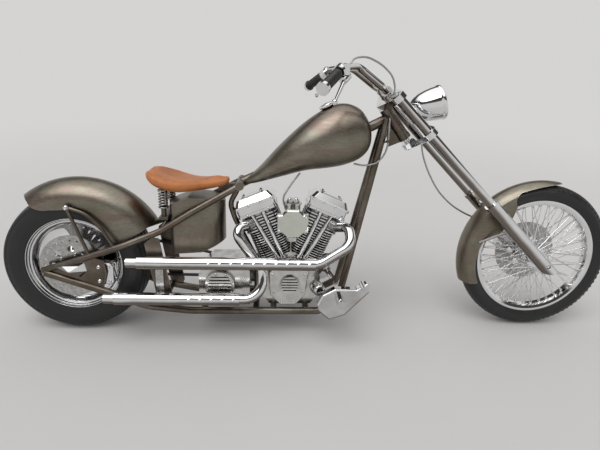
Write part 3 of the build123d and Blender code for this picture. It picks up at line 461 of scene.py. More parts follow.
def makeRawSteel(name, stretch, turn=(0, 0, 0), look=rawSteelLook, heat=0.55):
    material, tree, shader, spot = startMaterial(name, metallic=1.0)
    brushed = {"Vector": spot, "Stretch": stretch, "Turn": turn}
    patched = {"Vector": spot, "Scale": look["patchScale"], "Low": 0.34, "High": 0.66}
    burnt = {"Vector": spot, "Scale": look["burnScale"], "Low": 0.57, "High": 0.74}
    patches = addMask(tree, cloudPatches, patched)
    drift = addMask(tree, brushLines, {**brushed, "Scale": look["driftScale"]})
    lines = addMask(tree, brushLines, {**brushed, "Scale": look["lineScale"]})
    burns = addMask(tree, cloudPatches, burnt)
    edges = addMask(tree, edgeRub, {"Radius": 0.003})
    cornerShadeAndDust = addMask(tree, cornerOcclusion, {"Distance": 0.035, "Low": 0.3, "High": 0.85})
    tone = mixColour(tree, patches, look["olive"], look["pale"])
    tone = mixColour(tree, addRamp(tree, drift, 0.48, 0.62), tone, look["rose"])
    lined = mixColour(tree, 1.0, tone, look["line"], "MULTIPLY")
    tone = mixColour(tree, addRamp(tree, lines, 0.35, 0.7), lined, tone)
    tone = mixColour(tree, addMath(tree, "MULTIPLY", burns, heat), tone, look["burnt"])
    tone = mixColour(tree, edges, tone, look["rubbed"])
    # painted shade: darker in corners and recesses
    tone = mixColour(tree, cornerShadeAndDust, tone, look["dark"])
    # painted shade: darker on faces that look down
    undersideShade = addMask(tree, paintedUnderside, {"Vector": spot, "Low": -0.75, "High": 0.15, "Amount": look["shade"]})
    tone = mixColour(tree, undersideShade, tone, look["dark"])
    feed(tree, shader.inputs, {"Base Color": tone})
    setRoughness(tree, shader, lines, look["roughness"], (0.3, 0.7))
    setBump(tree, shader, lines, 0.14, 0.0006)
    return material


chromeLook = {
    "tint": (0.8, 0.8, 0.81, 1),
    # painted shade: the dark tone laid in corners
    "cornerShadeAndDust": (0.1, 0.095, 0.09, 1),
    # painted reflection: the brown of the ground, laid on faces that look down
    "groundReflection": (0.13, 0.1, 0.075, 1),
    "roughness": (0.02, 0.07),
    "smearShade": 0.92,
}


def makeChrome(name, look=chromeLook, undersideShade=0.0):
    material, tree, shader, spot = startMaterial(name, metallic=1.0)
    smears = addMask(tree, cloudPatches, {"Vector": spot, "Scale": 14.0, "Low": 0.4, "High": 0.7})
    cornerShadeAndDust = addMask(tree, cornerOcclusion, {"Distance": 0.012, "Low": 0.2, "High": 0.7})
    smeared = tuple(c * look["smearShade"] for c in look["tint"][:3]) + (1,)
    tone = mixColour(tree, smears, look["tint"], smeared)
    # painted shade: darker in corners
    tone = mixColour(tree, cornerShadeAndDust, tone, look["cornerShadeAndDust"])
    if undersideShade:
        # painted reflection of the ground on faces that look down
        groundReflection = addMask(tree, paintedUnderside, {"Vector": spot, "Low": -0.2, "High": 0.25, "Amount": undersideShade})
        tone = mixColour(tree, groundReflection, tone, look["groundReflection"])
    feed(tree, shader.inputs, {"Base Color": tone})
    setRoughness(tree, shader, smears, look["roughness"])
    return material


castLook = {
    "buffed": (0.7, 0.69, 0.67, 1),
    "dull": (0.54, 0.53, 0.51, 1),
    # painted shade: the dark tone laid in corners
    "cornerShadeAndDust": (0.09, 0.085, 0.08, 1),
    "roughness": (0.1, 0.24),
}


def makePolished(name, look=castLook):
    # Cast aluminium with a buffed face
    material, tree, shader, spot = startMaterial(name, metallic=1.0)
    cloud = addMask(tree, cloudPatches, {"Vector": spot, "Scale": 22.0, "Low": 0.3, "High": 0.7})
    cornerShadeAndDust = addMask(tree, cornerOcclusion, {"Distance": 0.02, "Low": 0.25, "High": 0.85})
    tone = mixColour(tree, cloud, look["buffed"], look["dull"])
    # painted shade: darker in corners
    tone = mixColour(tree, cornerShadeAndDust, tone, look["cornerShadeAndDust"])
    feed(tree, shader.inputs, {"Base Color": tone})
    setRoughness(tree, shader, cloud, look["roughness"])
    setBump(tree, shader, cloud, 0.05, 0.0005)
    return material


finLook = {"enamel": (0.016, 0.016, 0.017, 1), "machined": (0.66, 0.66, 0.65, 1), "roughness": 0.26}


def makeFinned(name, look=finLook):
    # Black enamel in the gaps, machined bright on the fins' outer faces; faces in the shaded gaps between
    # fins are kept black as painted shade
    material, tree, shader, spot = startMaterial(name)
    side = addNode(tree, "VectorMath", {"operation": "DOT_PRODUCT"},
                   {0: addNode(tree, "NewGeometry").outputs["Normal"], 1: tuple(facing(0, 1, 0))})
    sheer = addMath(tree, "ABSOLUTE", side.outputs["Value"])
    # painted shade: where ambient occlusion finds shade, the machined faces turn back to black enamel
    cornerShadeAndDust = addMask(tree, cornerOcclusion, {"Distance": 0.014, "Low": 0.3, "High": 0.8})
    clean = addNode(tree, "Math", {"operation": "SUBTRACT", "use_clamp": True},
                    {0: addRamp(tree, sheer, 0.35, 0.6), 1: cornerShadeAndDust})
    grain = addNode(tree, "TexNoise", None, {"Vector": spot, "Scale": 900.0, "Detail": 2.0})
    tone = mixColour(tree, clean.outputs[0], look["enamel"], look["machined"])
    feed(tree, shader.inputs, {"Base Color": tone})
    feed(tree, shader.inputs, {"Metallic": clean.outputs[0], "Roughness": look["roughness"]})
    setBump(tree, shader, grain.outputs[0], 0.1, 0.0003)
    return material


rubberLook = {"clean": (0.011, 0.011, 0.012, 1), "dust": (0.022, 0.021, 0.02, 1), "roughness": (0.42, 0.75)}


def makeRubber(name, look=rubberLook):
    material, tree, shader, spot = startMaterial(name)
    patches = addMask(tree, cloudPatches, {"Vector": spot, "Scale": 9.0, "Low": 0.45, "High": 0.85})
    grain = addNode(tree, "TexNoise", None, {"Vector": spot, "Scale": 600.0, "Detail": 3.0})
    cornerShadeAndDust = addMask(tree, cornerOcclusion, {"Distance": 0.008, "Low": 0.3, "High": 0.8})
    tone = mixColour(tree, patches, look["clean"], look["dust"])
    # dust in the corners: a lighter tone, not shade
    tone = mixColour(tree, cornerShadeAndDust, tone, look["dust"])
    feed(tree, shader.inputs, {"Base Color": tone})
    setRoughness(tree, shader, patches, look["roughness"])
    setBump(tree, shader, grain.outputs[0], 0.15, 0.0004)
    return material


leatherLook = {
    "light": (0.6, 0.225, 0.07, 1),
    "deep": (0.42, 0.13, 0.034, 1),
    "worn": (0.66, 0.3, 0.12, 1),
    "pore": (0.66, 0.6, 0.55, 1),
    "roughness": (0.34, 0.5),
}


def makeLeather(name, look=leatherLook):
    material, tree, shader, spot = startMaterial(name)
    cells = addNode(tree, "TexVoronoi", {"feature": "DISTANCE_TO_EDGE"},
                    {"Vector": spot, "Scale": 420.0, "Randomness": 1.0})
    folds = addMask(tree, cloudPatches, {"Vector": spot, "Scale": 9.0, "Low": 0.3, "High": 0.7})
    edges = addMask(tree, edgeRub, {"Radius": 0.006, "Low": 0.01, "High": 0.2})
    tone = mixColour(tree, folds, look["deep"], look["light"])
    pore = addRamp(tree, cells.outputs["Distance"], 0.0, 0.08)
    tone = mixColour(tree, pore, mixColour(tree, 1.0, tone, look["pore"], "MULTIPLY"), tone)
    tone = mixColour(tree, edges, tone, look["worn"])
    feed(tree, shader.inputs, {"Base Color": tone})
    setRoughness(tree, shader, folds, look["roughness"])
    setBump(tree, shader, pore, 0.35, 0.0004)
    return material


discLook = {"scored": (0.36, 0.35, 0.34, 1), "ground": (0.56, 0.56, 0.55, 1), "roughness": 0.24}


def makeDiscSteel(name, look=discLook):
    material, tree, shader, spot = startMaterial(name, metallic=1.0)
    lines = addMask(tree, brushLines, {"Vector": spot, "Stretch": (1, 0.1, 1), "Scale": 90.0})
    tone = mixColour(tree, addRamp(tree, lines, 0.35, 0.65), look["scored"], look["ground"])
    feed(tree, shader.inputs, {"Base Color": tone, "Roughness": look["roughness"]})
    return material


braidLook = {"gap": (0.12, 0.12, 0.12, 1), "wire": (0.55, 0.55, 0.54, 1), "turn": 0.8, "roughness": 0.3}


def makeBraid(name, look=braidLook):
    # Braided steel sleeve: two sets of fine crossing wires
    material, tree, shader, spot = startMaterial(name, metallic=1.0)
    waves = []
    for turn in (look["turn"], -look["turn"]):
        turned = addNode(tree, "Mapping", None, {"Vector": spot, "Rotation": (turn, turn, 0)})
        waves.append(addNode(tree, "TexWave", {"bands_direction": "Z"},
                             {"Vector": turned.outputs[0], "Scale": 130.0, "Distortion": 0.0}).outputs[1])
    cross = addMath(tree, "MAXIMUM", *waves)
    tone = mixColour(tree, cross, look["gap"], look["wire"])
    feed(tree, shader.inputs, {"Base Color": tone, "Roughness": look["roughness"]})
    setBump(tree, shader, cross, 0.4, 0.0005)
    return material


def makeGlass(name):
    material, tree, shader, spot = startMaterial(name)
    flutes = addNode(tree, "TexWave", {"bands_direction": "Y"}, {"Vector": spot, "Scale": 28.0})
    feed(tree, shader.inputs, {"Base Color": (0.95, 0.97, 0.98, 1), "Transmission Weight": 1.0,
                               "Roughness": 0.03})
    setBump(tree, shader, flutes.outputs[1], 0.3, 0.001)
    return material


tubeLook = dict(rawSteelLook, olive=(0.13, 0.11, 0.085, 1), pale=(0.24, 0.215, 0.185, 1),
                rose=(0.19, 0.14, 0.12, 1))
steelTube = makeRawSteel("rawSteelTube", (1, 8, 8), look=tubeLook, heat=0.7)
steelTank = makeRawSteel("rawSteelTank", (1, 4, 7), (0, -0.5, 0), heat=0.15)
steelSheet = makeRawSteel("rawSteelSheet", (1, 4, 7), (0, 0.4, 0), heat=0.6)
chrome = makeChrome("chromePlate")
# chrome with a painted reflection of the ground on its faces that look down
pipeChrome = makeChrome("undersideShadedChrome", undersideShade=0.9)
mirror = makeChrome("mirrorPlate", dict(chromeLook, tint=(0.66, 0.68, 0.62, 1), roughness=(0.01, 0.03)))
# aged chrome, its corners darkened with painted shade in a near-black tone
darkChrome = makeChrome("agedChrome", dict(chromeLook, tint=(0.4, 0.39, 0.38, 1), roughness=(0.12, 0.25),
                                           cornerShadeAndDust=(0.05, 0.045, 0.04, 1)))
polished = makePolished("polishedCast")
finned = makeFinned("blackFins")
tyreRubber = makeRubber("tyreRubber")
gripRubber = makeRubber("gripRubber", dict(rubberLook, dust=(0.035, 0.033, 0.031, 1)))
saddleLeather = makeLeather("saddleLeather")
discSteel = makeDiscSteel("discSteel")
braid = makeBraid("braidedSleeve")
lampGlass = makeGlass("lampGlass")
print("materials made")

finishes = {
    steelTube: ["backbone", "downtubes", "upper_stays", "frame_plates", "cross_members", "fender_struts",
                "seat_bracket"],
    steelTank: ["fuel_tank"],
    steelSheet: ["oil_tank", "rear_fender", "front_fender"],
    chrome: ["fuel_cap", "rocker_boxes", "pushrod_tubes", "rear_rim", "rear_caliper", "fork_trees",
             "front_axle", "hand_levers", "front_rim", "front_hub", "front_spokes", "front_caliper"],
    pipeChrome: ["exhausts", "oil_filter", "foot_controls", "rear_axle", "side_stand", "fork_tubes",
                 "fork_sliders", "headlight", "handlebar"],
    mirror: ["air_cleaner"],
    polished: ["crankcase", "cam_cover", "carburettor", "primary_cover", "gearbox", "rear_pulley"],
    finned: ["cylinders", "cylinder_heads"],
    tyreRubber: ["front_tyre", "rear_tyre"],
    gripRubber: ["grips", "drive_belt"],
    saddleLeather: ["seat"],
    discSteel: ["front_disc", "rear_disc", "exhaust_brackets"],
    darkChrome: ["seat_springs"],
    braid: ["throttle_cable", "fuel_hose", "control_cables", "brake_hose"],
    lampGlass: ["headlight_lens"],
}
for material, names in finishes.items():
    for name in names:
        mesh = cad[name].data
        mesh.materials.clear()
        mesh.materials.append(material)
print("CAD nodes finished")


# Fuel tank: a smooth teardrop, round above its waist and drawn in below

tankShape = {
    # x, bottom z, waist z, half width there, top z
    "sections": [
        (-338, 676, 683, 6, 690), (-326, 677, 688, 20, 699), (-300, 684, 700, 36, 719),
        (-250, 696, 726, 60, 763), (-160, 722, 784, 94, 862), (-50, 754, 830, 121, 965),
        (50, 768, 852, 130, 1030), (120, 782, 868, 128, 1045), (180, 806, 884, 112, 1026),
        (215, 834, 896, 86, 988), (232, 862, 902, 56, 950), (238, 884, 904, 22, 926),
    ],
    "rows": 8,
    "around": 72,
    "round": 2.15,
    "flankCurve": 0.72,
    "bellyCurve": 1.1,
}


def makeTank(look=tankShape):
    rings = []
    for x, low, waist, half, top in smoothRow(look["sections"], look["rows"]):
        ring = []
        for step in range(look["around"]):
            angle = 2 * math.pi * step / look["around"]
            across, upward = math.cos(angle), math.sin(angle)
            if upward >= 0:
                across, upward = (swollen(value, 2 / look["round"]) for value in (across, upward))
                ring.append(place(x, half * across, waist + (top - waist) * upward))
            else:
                across, upward = swollen(across, look["flankCurve"]), swollen(upward, look["bellyCurve"])
                ring.append(place(x, half * across, waist + (waist - low) * upward))
        rings.append(ring)
    return dress(skinRings("fuelTank", rings), steelTank, "frame", "fuel_tank")


makeTank()

# Filler: a low bung, and a cap with a knurled edge
fillerLook = {
    "spot": (44, 0, 1024),
    "way": (-0.46, 0, 0.89),
    "knurls": 36,
    "profile": [(-6, 0), (-6, 27), (5, 27), (6, 33), (8, 34.5), (17, 34.5), (19, 33), (20.5, 28), (21, 14),
                (19.5, 12), (19.5, 0)],
}


def makeFiller(look=fillerLook):
    spot, way = place(*look["spot"]), facing(*look["way"])
    cap = latheAbout("fillerCap", spot, way, look["profile"], 72)
    tooth = meshObject("knurl", [Vector(p) / 1000 for p in
                                 ((33.8, -1.1, 8), (33.8, 1.1, 8), (33.8, 1.1, 17), (33.8, -1.1, 17),
                                  (35.2, 0, 8.5), (35.2, 0, 16.5))],
                       [(0, 4, 5, 3), (4, 1, 2, 5), (0, 1, 4), (3, 5, 2), (1, 0, 3, 2)], smooth=False)
    tooth.data.transform(way.to_track_quat("Z", "X").to_matrix().to_4x4())
    knurls = repeatRound("fillerKnurls", tooth, look["knurls"], spot, way, chrome)
    return dress(joinPieces("fillerCap", [cap, knurls]), chrome, "frame", "fuel_cap")


makeFiller()
print("tank made")


# Tyres: a turned carcass with grooves and sidewall rings, and lugs set round both shoulders

tyreLook = {
    "front": {
        "centre": stance["frontAxle"], "segments": 220,
        "lugs": 84, "lug": (9, 5, 3.4), "lugPlace": (37.5, 337.5),
        "half": [(27, 270), (29, 282), (33, 286), (34.5, 292), (38, 296), (39, 298), (43, 306), (45.3, 314),
                 (45.4, 321), (43.5, 326), (42.5, 326.6), (41, 331), (36.5, 337.5), (29, 344), (26.2, 345.8),
                 (25.6, 342), (22.4, 343.5), (21.6, 348.2), (11.5, 351.8), (10.8, 348), (7.6, 348.5),
                 (6.9, 352.6), (0, 353)],
    },
    "rear": {
        "centre": stance["rearAxle"], "segments": 220,
        "lugs": 64, "lug": (15, 8, 4.6), "lugPlace": (87, 298),
        "half": [(81, 206), (85.6, 212), (87.4, 213.5), (90, 224), (91, 234), (92.6, 237), (93.4, 241),
                 (94.8, 256), (94.8, 270), (93.4, 284), (91.6, 286), (91.2, 292), (89, 299), (85, 304.2),
                 (68, 309.6), (66.4, 305), (61.4, 306.4), (60, 312), (39, 316.4), (37.8, 311.6),
                 (32.8, 312.4), (31.6, 317.4), (10, 319.7), (9, 314.8), (4.4, 315), (3.5, 319.9), (0, 320)],
    },
}


# A lug's long and wide sides taper to its top; it leans over the shoulder, a little askew, its foot sunk in
lugLook = {"taper": (0.8, 0.85), "lean": 0.35, "skew": 1.4, "sunk": 0.55, "narrow": 0.8}


def makeTyre(name, look, node, body):
    axis = facing(0, 1, 0)
    centre = place(*look["centre"])
    profile = look["half"] + [(-y, r) for y, r in reversed(look["half"][:-1])]
    carcass = latheAbout(name, centre, axis, profile, look["segments"], closed=True)
    across, radius = look["lugPlace"]
    long, wide, high = look["lug"]
    lean = math.atan2(look["half"][-1][1] - radius, across) + lugLook["lean"]
    parts = [carcass]
    for side in (-1, 1):
        points = []
        for w, (ends, flanks) in ((0, (1, 1)), (1, lugLook["taper"])):
            rise = w * high - high * lugLook["sunk"]
            for u, v in ((-ends, -flanks), (ends, -flanks), (ends, flanks), (-ends, flanks)):
                out = radius + (-v * wide * math.sin(lean) + rise * math.cos(lean))
                cross = across + v * wide * math.cos(lean) * lugLook["narrow"] + rise * math.sin(lean)
                points.append(leaned(u * long / 2 + v * lugLook["skew"], side * cross, out) / 1000)
        lug = meshObject("lug", points, [(0, 3, 2, 1), (4, 5, 6, 7), (0, 1, 5, 4), (1, 2, 6, 5), (2, 3, 7, 6),
                                         (3, 0, 4, 7)], smooth=False)
        parts.append(repeatRound("lugs", lug, look["lugs"], centre, axis, tyreRubber))
    made = joinPieces(name, parts)
    # the lugs' six faces stay flat on both shoulders
    for face in made.data.polygons:
        face.use_smooth = face.index < len(made.data.polygons) - 12 * look["lugs"]
    return dress(made, tyreRubber, body, node)


makeTyre("frontTyre", tyreLook["front"], "front_tyre", "front_wheel")
makeTyre("rearTyre", tyreLook["rear"], "rear_tyre", "rear_wheel")
print("tyres made")


# Rear wheel: a deep chromed dish with a stepped lip

rearWheelLook = {
    "right": [(-81.4, 212), (-87.2, 212.4), (-87.6, 209.5), (-84, 208.6), (-79, 208), (-77.5, 206.5),
              (-77, 202), (-74.5, 200.6), (-70, 199.5), (-68.5, 198), (-68, 192), (-60, 188), (-42, 184),
              (-33, 176), (-29.5, 160), (-31, 130), (-38, 105), (-46, 90), (-56, 76), (-66, 62), (-72, 56),
              (-96, 50), (-98.8, 47.5), (-98.8, 14)],
    "left": [(98.8, 14), (98.8, 47.5), (96, 50), (40, 54), (34, 58), (25, 80), (21, 100), (22, 150),
             (26, 176), (36, 186), (62, 190), (70, 193), (76, 202), (79, 207), (87.6, 209.5), (87.2, 212.4),
             (81.4, 212)],
    "bed": [(81.2, 205.5), (-81.2, 205.5)],
    "segments": 160,
    "rounding": 0.0008,
}


def makeRearWheel(look=rearWheelLook):
    profile = look["right"] + look["left"] + look["bed"]
    wheel = latheAbout("rearWheel", place(*stance["rearAxle"]), facing(0, 1, 0), profile, look["segments"],
                       closed=True)
    bevel = wheel.modifiers.new("roundedSteps", "BEVEL")
    bevel.width = look["rounding"]
    bevel.segments = 2
    bevel.limit_method = "ANGLE"
    return dress(wheel, chrome, "rear_wheel", "rear_rim")


makeRearWheel()

# Spoke nipples in the front rim, in two rows leaning to either side
nippleLook = {"radius": 2.8, "long": 13, "count": 40, "row": 7.5, "seat": 255.5, "lean": 0.16}


def makeNipples(look=nippleLook):
    parts = []
    axis, centre = facing(0, 1, 0), place(*stance["frontAxle"])
    for side in (-1, 1):
        out = facing(0, -side * look["lean"], -1)
        unit = latheAbout("nipple", leaned(0, side * look["row"], look["seat"]) / 1000, out,
                          [(0, 0), (0, look["radius"] + 0.6), (3, look["radius"] + 0.6), (4, look["radius"]),
                           (look["long"], look["radius"] * 0.8), (look["long"], 0)], 8)
        parts.append(repeatRound("nipples", unit, look["count"], centre, axis, chrome))
    return dress(joinPieces("spokeNipples", parts), chrome, "front_wheel")


makeNipples()


# Bolts that hold both discs and the pulley

def ringOfBolts(centre, y, radius, count, size, side, start=0.0):
    x, z = centre[0], centre[-1]
    turns = [start + 2 * math.pi * k / count for k in range(count)]
    return [(x + radius * math.cos(t), y, z + radius * math.sin(t), (0, side, 0), size) for t in turns]


setBolts("rearDiscBolts", ringOfBolts(stance["rearAxle"], -104, 56, 5, 6.5, -1), darkChrome, "rear_wheel")
setBolts("frontDiscBolts", ringOfBolts(stance["frontAxle"], 80, 40, 5, 5.5, 1), chrome, "front_wheel")
setBolts("rearPulleyBolts", ringOfBolts(stance["rearAxle"], 120, 50, 5, 3.2, 1), chrome, "rear_wheel")
print("wheels made")


# Seat: a padded leather saddle, blown up as cloth

seatLook = {
    # x, half width, top z in the middle, top z at the edge, bottom z
    "sections": [
        (-742, 26, 738, 741, 724), (-736, 66, 744, 750, 716), (-722, 96, 745, 754, 704),
        (-700, 120, 735, 748, 690), (-670, 134, 720, 736, 677), (-636, 139, 707, 722, 668),
        (-600, 130, 700, 711, 663), (-560, 106, 698, 704, 662), (-520, 80, 700, 700, 664),
        (-480, 60, 705, 700, 668), (-440, 46, 712, 705, 675), (-412, 37, 719, 711, 682),
        (-394, 28, 721, 714, 690), (-385, 13, 716, 712, 698),
    ],
    "rows": 5,
    "around": 56,
    "sideCurve": 0.62,
    "topCurve": 0.5,
    "underCurve": 0.6,
    "voxel": 0.0045,
    "frames": 20,
    "pressure": 4.0,
    "cap": 0.006,
    "fill": 0.55,
}


def makeSeat(look=seatLook):
    rings = []
    for x, half, top, edge, low in smoothRow(look["sections"], look["rows"]):
        ring = []
        for step in range(look["around"]):
            angle = 2 * math.pi * step / look["around"]
            across, upward = math.cos(angle), math.sin(angle)
            side = swollen(across, look["sideCurve"])
            middle = (edge + low) / 2
            if upward >= 0:
                crown = edge + (top - edge) * (1 - side * side)
                z = middle + (crown - middle) * upward ** look["topCurve"]
            else:
                z = middle + (low - middle) * abs(upward) ** look["underCurve"]
            ring.append(place(x, half * side, z))
        rings.append(ring)
    seat = skinRings("saddle", rings)
    seat = puffUp(seat, look)
    addSubdivision(seat)
    dress(seat, saddleLeather, "frame", "seat")
    return seat


def puffUp(piece, look):
    # Fine even mesh, then cloth under slight pressure, with each point's way capped
    remesh = piece.modifiers.new("even", "REMESH")
    remesh.mode = "VOXEL"
    remesh.voxel_size = look["voxel"]
    bpy.context.view_layer.update()
    even = bpy.data.meshes.new_from_object(piece.evaluated_get(bpy.context.evaluated_depsgraph_get()))
    piece.modifiers.remove(remesh)
    piece.data = even
    still = [vertex.co.copy() for vertex in even.vertices]
    cloth = piece.modifiers.new("padding", "CLOTH")
    cloth.settings.use_pressure = True
    cloth.settings.uniform_pressure_force = look["pressure"]
    cloth.settings.effector_weights.gravity = 0
    cloth.point_cache.frame_start = 1
    cloth.point_cache.frame_end = look["frames"]
    scene = bpy.context.scene
    for frameNumber in range(1, look["frames"] + 1):
        scene.frame_set(frameNumber)
    blown = bpy.data.meshes.new_from_object(piece.evaluated_get(bpy.context.evaluated_depsgraph_get()))
    piece.modifiers.remove(cloth)
    scene.frame_set(1)
    for vertex, start in zip(blown.vertices, still):
        way = vertex.co - start
        if way.length > look["cap"]:
            vertex.co = start + way * (look["cap"] / way.length)
    for face in blown.polygons:
        face.use_smooth = True
    piece.data = blown
    return piece


makeSeat()
print("seat made")

# Saddle springs: open coils between two cups
springLook = {
    "x": -664, "y": 82, "foot": 590, "top": 668, "inset": 6, "cup": 22, "post": 7,
    "radius": 17, "wire": 4.2, "turns": 5.5, "steps": 26,
}


def makeSprings(look=springLook):
    parts = []
    foot, top, post, cup = look["foot"], look["top"], look["post"], look["cup"]
    upward, tall, count = facing(0, 0, 1), top - foot, int(look["turns"] * look["steps"])
    for side in (-1, 1):
        path = []
        for step in range(count + 1):
            angle = 2 * math.pi * step / look["steps"]
            rise = foot + look["inset"] + (tall - 2 * look["inset"]) * step / count
            path.append(place(look["x"] + look["radius"] * math.cos(angle),
                              side * look["y"] + look["radius"] * math.sin(angle), rise))
        parts.append(tubeAlong("coil", path, look["wire"], 10))
        for low, deep in ((foot - 2, 7), (top - 5, 8)):
            profile = [(0, 0), (0, cup - 2), (1, cup), (deep - 1, cup), (deep, cup - 2), (deep, 0)]
            parts.append(latheAbout("cup", place(look["x"], side * look["y"], low), upward, profile, 32))
        parts.append(latheAbout("post", place(look["x"], side * look["y"], foot), upward,
                                [(0, 0), (0, post), (tall, post), (tall, 0)], 20))
    return dress(joinPieces("saddleSprings", parts), darkChrome, "frame", "seat_springs")


makeSprings()
print("springs made")


# Grips: ribbed rubber with a plain collar at each end
gripLook = {"end": (-15, 385, 1111), "inner": (72, 230, 1186), "long": 124, "ribs": 17, "firstRib": 10,
            "bore": 16.4, "collar": 20.8, "crest": 20.6, "valley": 18.6}


def makeGrips(look=gripLook):
    parts = []
    bore, crest, valley, collar = look["bore"], look["crest"], look["valley"], look["collar"]
    profile = [(4.2, bore), (4.2, 20.5), (8, collar)]
    pitch = (look["long"] - 16) / look["ribs"]
    for rib in range(look["ribs"]):
        base = look["firstRib"] + rib * pitch
        profile += [(base + pitch * share, radius)
                    for share, radius in ((0, crest), (0.18, valley), (0.45, valley), (0.63, crest))]
    profile += [(look["long"] - 2, collar), (look["long"] + 3.5, crest), (look["long"] + 3.5, bore)]
    for side in (-1, 1):
        end, inner = (place(x, side * y, z) for x, y, z in (look["end"], look["inner"]))
        parts.append(latheAbout("grip", end, (inner - end).normalized(), profile, 40, closed=True))
    return dress(joinPieces("ribbedGrips", parts), gripRubber, "fork", "grips")


makeGrips()
print("grips made")


# Headlight: a hollow bullet shell with a rolled rim, a bright bowl, a bulb, and a domed fluted lens

lampLook = {
    "centre": (544, 0, 1063),
    "way": (0.96, 0, 0.28),
    "shell": [(-2, 70), (-1, 73), (-4, 75.6), (-10, 76), (-16, 75), (-19, 72.5), (-26, 72), (-45, 70.5),
              (-70, 66.5), (-100, 58.5), (-125, 46), (-146, 29), (-158, 14), (-161.5, 4), (-162, 0)],
    "bowl": [(-3, 66.5), (-8, 65.5), (-24, 57), (-44, 43), (-60, 26), (-68, 12), (-70, 0)],
    "rim": [(-3, 66.5), (-2, 70)],
    "bulb": [(-66, 0), (-66, 7), (-52, 7), (-50, 9), (-40, 10), (-30, 7), (-26, 0)],
    "lens": [(-7.5, 0), (-7.5, 65.8), (-2.5, 65.8), (0, 60), (3, 46), (5.2, 30), (6.4, 14), (6.8, 0)],
    "stem": [(466, 0, 938), (458, 0, 975), (452, 0, 1018)],
    "stemRadius": 11,
    "segments": 96,
}


def makeHeadlight(look=lampLook):
    centre, way = place(*look["centre"]), facing(*look["way"])
    shell = latheAbout("lampShell", centre, way, look["shell"], look["segments"])
    bowl = latheAbout("lampBowl", centre, way, list(reversed(look["bowl"])), look["segments"])
    rim = latheAbout("lampRim", centre, way, look["rim"], look["segments"])
    case = joinPieces("headlightCase", [shell, bowl, rim])
    stem = tubeAlong("lampStem", [place(*point) for point in look["stem"]], look["stemRadius"], 20)
    dress(joinPieces("headlightShell", [case, stem]), chrome, "fork", "headlight")
    bulb = latheAbout("lampBulb", centre, way, look["bulb"], 24)
    dress(bulb, mirror, "fork")
    lens = latheAbout("lampLens", centre, way, look["lens"], look["segments"])
    dress(lens, lampGlass, "fork", "headlight_lens")


makeHeadlight()
print("headlight made")


# Bolts over the engine, the frame and the fork

ways = {"right": (0, -1, 0), "left": (0, 1, 0), "up": (0, 0, 1)}
veeLook = {"crank": (-103, 203), "angle": 22.5}


def veePoint(side, height, along, across, look=veeLook):
    tilt = math.radians(side * look["angle"])
    x, z = look["crank"]
    return (x + height * math.sin(tilt) + along * math.cos(tilt), across,
            z + height * math.cos(tilt) - along * math.sin(tilt))


def engineBolts():
    table = []
    for side in (-1, 1):
        # rocker box flanks, rocker box tops, head flanks
        for along in (-82, -28, 28, 82):
            table.append((*veePoint(side, 438, along, -71), ways["right"], 4.4))
            table.append((*veePoint(side, 438, along, 71), ways["left"], 4.4))
        tilt = math.radians(side * veeLook["angle"])
        for along in (-42, 42):
            for across in (-18, 18):
                table.append((*veePoint(side, 474, along, across), (math.sin(tilt), 0, math.cos(tilt)), 5))
        for along in (-50, 50):
            table.append((*veePoint(side, 397, along, -69), ways["right"], 3.8))
    # cam cover, gearbox cover, air cleaner, intake, primary cover
    for x, z in ((-188, 292), (-156, 326), (-52, 326), (-40, 292), (-50, 200), (-86, 160), (-144, 160),
                 (-180, 200)):
        table.append((x, -122, z, ways["right"], 4.6))
    table += ringOfBolts((-424, 238), -130, 59, 8, 4.4, -1, 0.3)
    table += [(x, -198, z, ways["right"], 4) for x in (-160, -46) for z in (523, 585)]
    table += [(x, -74, 634, ways["up"], 6) for x in (-114, -86)]
    table += [(x, 186, z, ways["left"], 5) for x in range(-420, -99, 80) for z in (156, 284)]
    table += [(x, 186, 220, ways["left"], 5) for x in (-480, -40)]
    return table


setBolts("engineBolts", engineBolts(), chrome, "frame")

# Fender struts, axle plates, rear caliper
frameBolts = [(-1063, side * 126, 592, (0, side, 0), 8) for side in (-1, 1)]
frameBolts += [(-945, -144, z, ways["right"], 7) for z in (265, 330)]
frameBolts += [(-930 + dx, -129, 292 + dz, ways["right"], 5.5) for dx in (-24, 24) for dz in (-34, 34)]
setBolts("frameBolts", frameBolts, chrome, "frame")

# Both ends of the front axle
axleX, axleY, axleZ = stance["frontAxle"]
forkBolts = [(axleX, side * 135, axleZ, (0, side, 0), 11) for side in (-1, 1)]
setBolts("forkBolts", forkBolts, chrome, "fork")
print("bolts set")


# Studio: a pale floor that runs into a pale backdrop, and one wide soft sun

studio = {
    "floorColour": (0.62, 0.61, 0.595, 1),
    "backdrop": (0.66, 0.655, 0.645, 1),
    "mottleShade": 0.98,
    "floorSize": 90.0,
    "floorFade": (2.2, 7.0),
    "flank": (0.06, 0.055, 0.05, 1),
    "ceiling": (1.25, 1.25, 1.25, 1),
    "flankFrom": (0.3, 0.42),
    "ceilingFrom": (0.62, 0.8),
    "skyLight": (0.62, 0.62, 0.625, 1),
    "sunWay": (0.3, 0.45, -1),
    "sunStrength": 1.25,
    "sunAngle": 50,
}


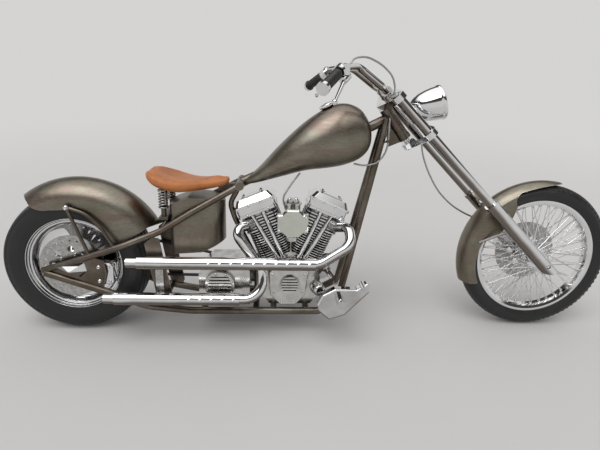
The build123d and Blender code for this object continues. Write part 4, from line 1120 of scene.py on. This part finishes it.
def makeStudio(look=studio):
    half = look["floorSize"] / 2
    corners = [(-half, -half, 0), (half, -half, 0), (half, half, 0), (-half, half, 0)]
    floor = meshObject("floor", corners, [(0, 1, 2, 3)])
    material, tree, shader, spot = startMaterial("paleFloor")
    mottle = addMask(tree, cloudPatches, {"Vector": spot, "Scale": 1.5, "Low": 0.2, "High": 0.8})
    dimmer = tuple(c * look["mottleShade"] for c in look["floorColour"][:3]) + (1,)
    feed(tree, shader.inputs, {"Base Color": mixColour(tree, mottle, look["floorColour"], dimmer),
                               "Roughness": 0.8, "Specular IOR Level": 0.1})
    far = addNode(tree, "VectorMath", {"operation": "LENGTH"}, {0: spot})
    glow = addNode(tree, "Emission", None, {"Color": look["backdrop"], "Strength": 1.0})
    mixer = addNode(tree, "MixShader", None, {0: addRamp(tree, far.outputs["Value"], *look["floorFade"]),
                                              1: shader.outputs[0], 2: glow.outputs[0]})
    feed(tree, tree.nodes["Material Output"].inputs, {"Surface": mixer.outputs[0]})
    floor.data.materials.append(material)
    world = bpy.data.worlds.new("softRoom")
    world.use_nodes = True
    bpy.context.scene.world = world
    tree = world.node_tree
    outward = addNode(tree, "TexCoord").outputs["Generated"]
    height = addNode(tree, "SeparateXYZ", None, {0: outward}).outputs["Z"]
    room = mixColour(tree, addRamp(tree, height, *look["flankFrom"]), look["backdrop"], look["flank"])
    room = mixColour(tree, addRamp(tree, height, *look["ceilingFrom"]), room, look["ceiling"])
    path = addNode(tree, "LightPath").outputs
    shown = path["Is Camera Ray"]
    for ray in ("Is Glossy Ray", "Is Transmission Ray"):
        shown = addMath(tree, "MAXIMUM", shown, path[ray])
    feed(tree, tree.nodes["Background"].inputs, {"Color": mixColour(tree, shown, look["skyLight"], room)})


def addSun(name, look=studio):
    data = bpy.data.lights.new(name, "SUN")
    data.energy = look["sunStrength"]
    data.angle = math.radians(look["sunAngle"])
    lamp = addObject(name, data)
    lamp.rotation_euler = Vector(look["sunWay"]).to_track_quat("-Z", "Y").to_euler()


makeStudio()
addSun("softKey")

# The viewpoint in the frame's metres, with its turns in degrees
viewpoint = {
    "place": (-0.1945, -2.069, 1.2804),
    "pitch": 21.29,
    "yaw": 3.28,
    "roll": 1.95,
    "lens": 28.02,
}


def makeCamera(look=viewpoint):
    pitch, yaw, roll = (math.radians(look[key]) for key in ("pitch", "yaw", "roll"))
    forward = Vector((math.sin(yaw) * math.cos(pitch), math.cos(yaw) * math.cos(pitch), -math.sin(pitch)))
    level = Vector((math.cos(yaw), -math.sin(yaw), 0))
    upright = level.cross(forward)
    right = level * math.cos(roll) + upright * math.sin(roll)
    up = upright * math.cos(roll) - level * math.sin(roll)
    data = bpy.data.cameras.new("photoCamera")
    data.lens = look["lens"]
    camera = addObject("photoCamera", data)
    camera.matrix_world = Matrix((
        (right.x, up.x, -forward.x, look["place"][0]),
        (right.y, up.y, -forward.y, look["place"][1]),
        (right.z, up.z, -forward.z, look["place"][2]),
        (0, 0, 0, 1)))
    bpy.context.scene.camera = camera


makeCamera()
bpy.context.scene.view_settings.view_transform = "Standard"
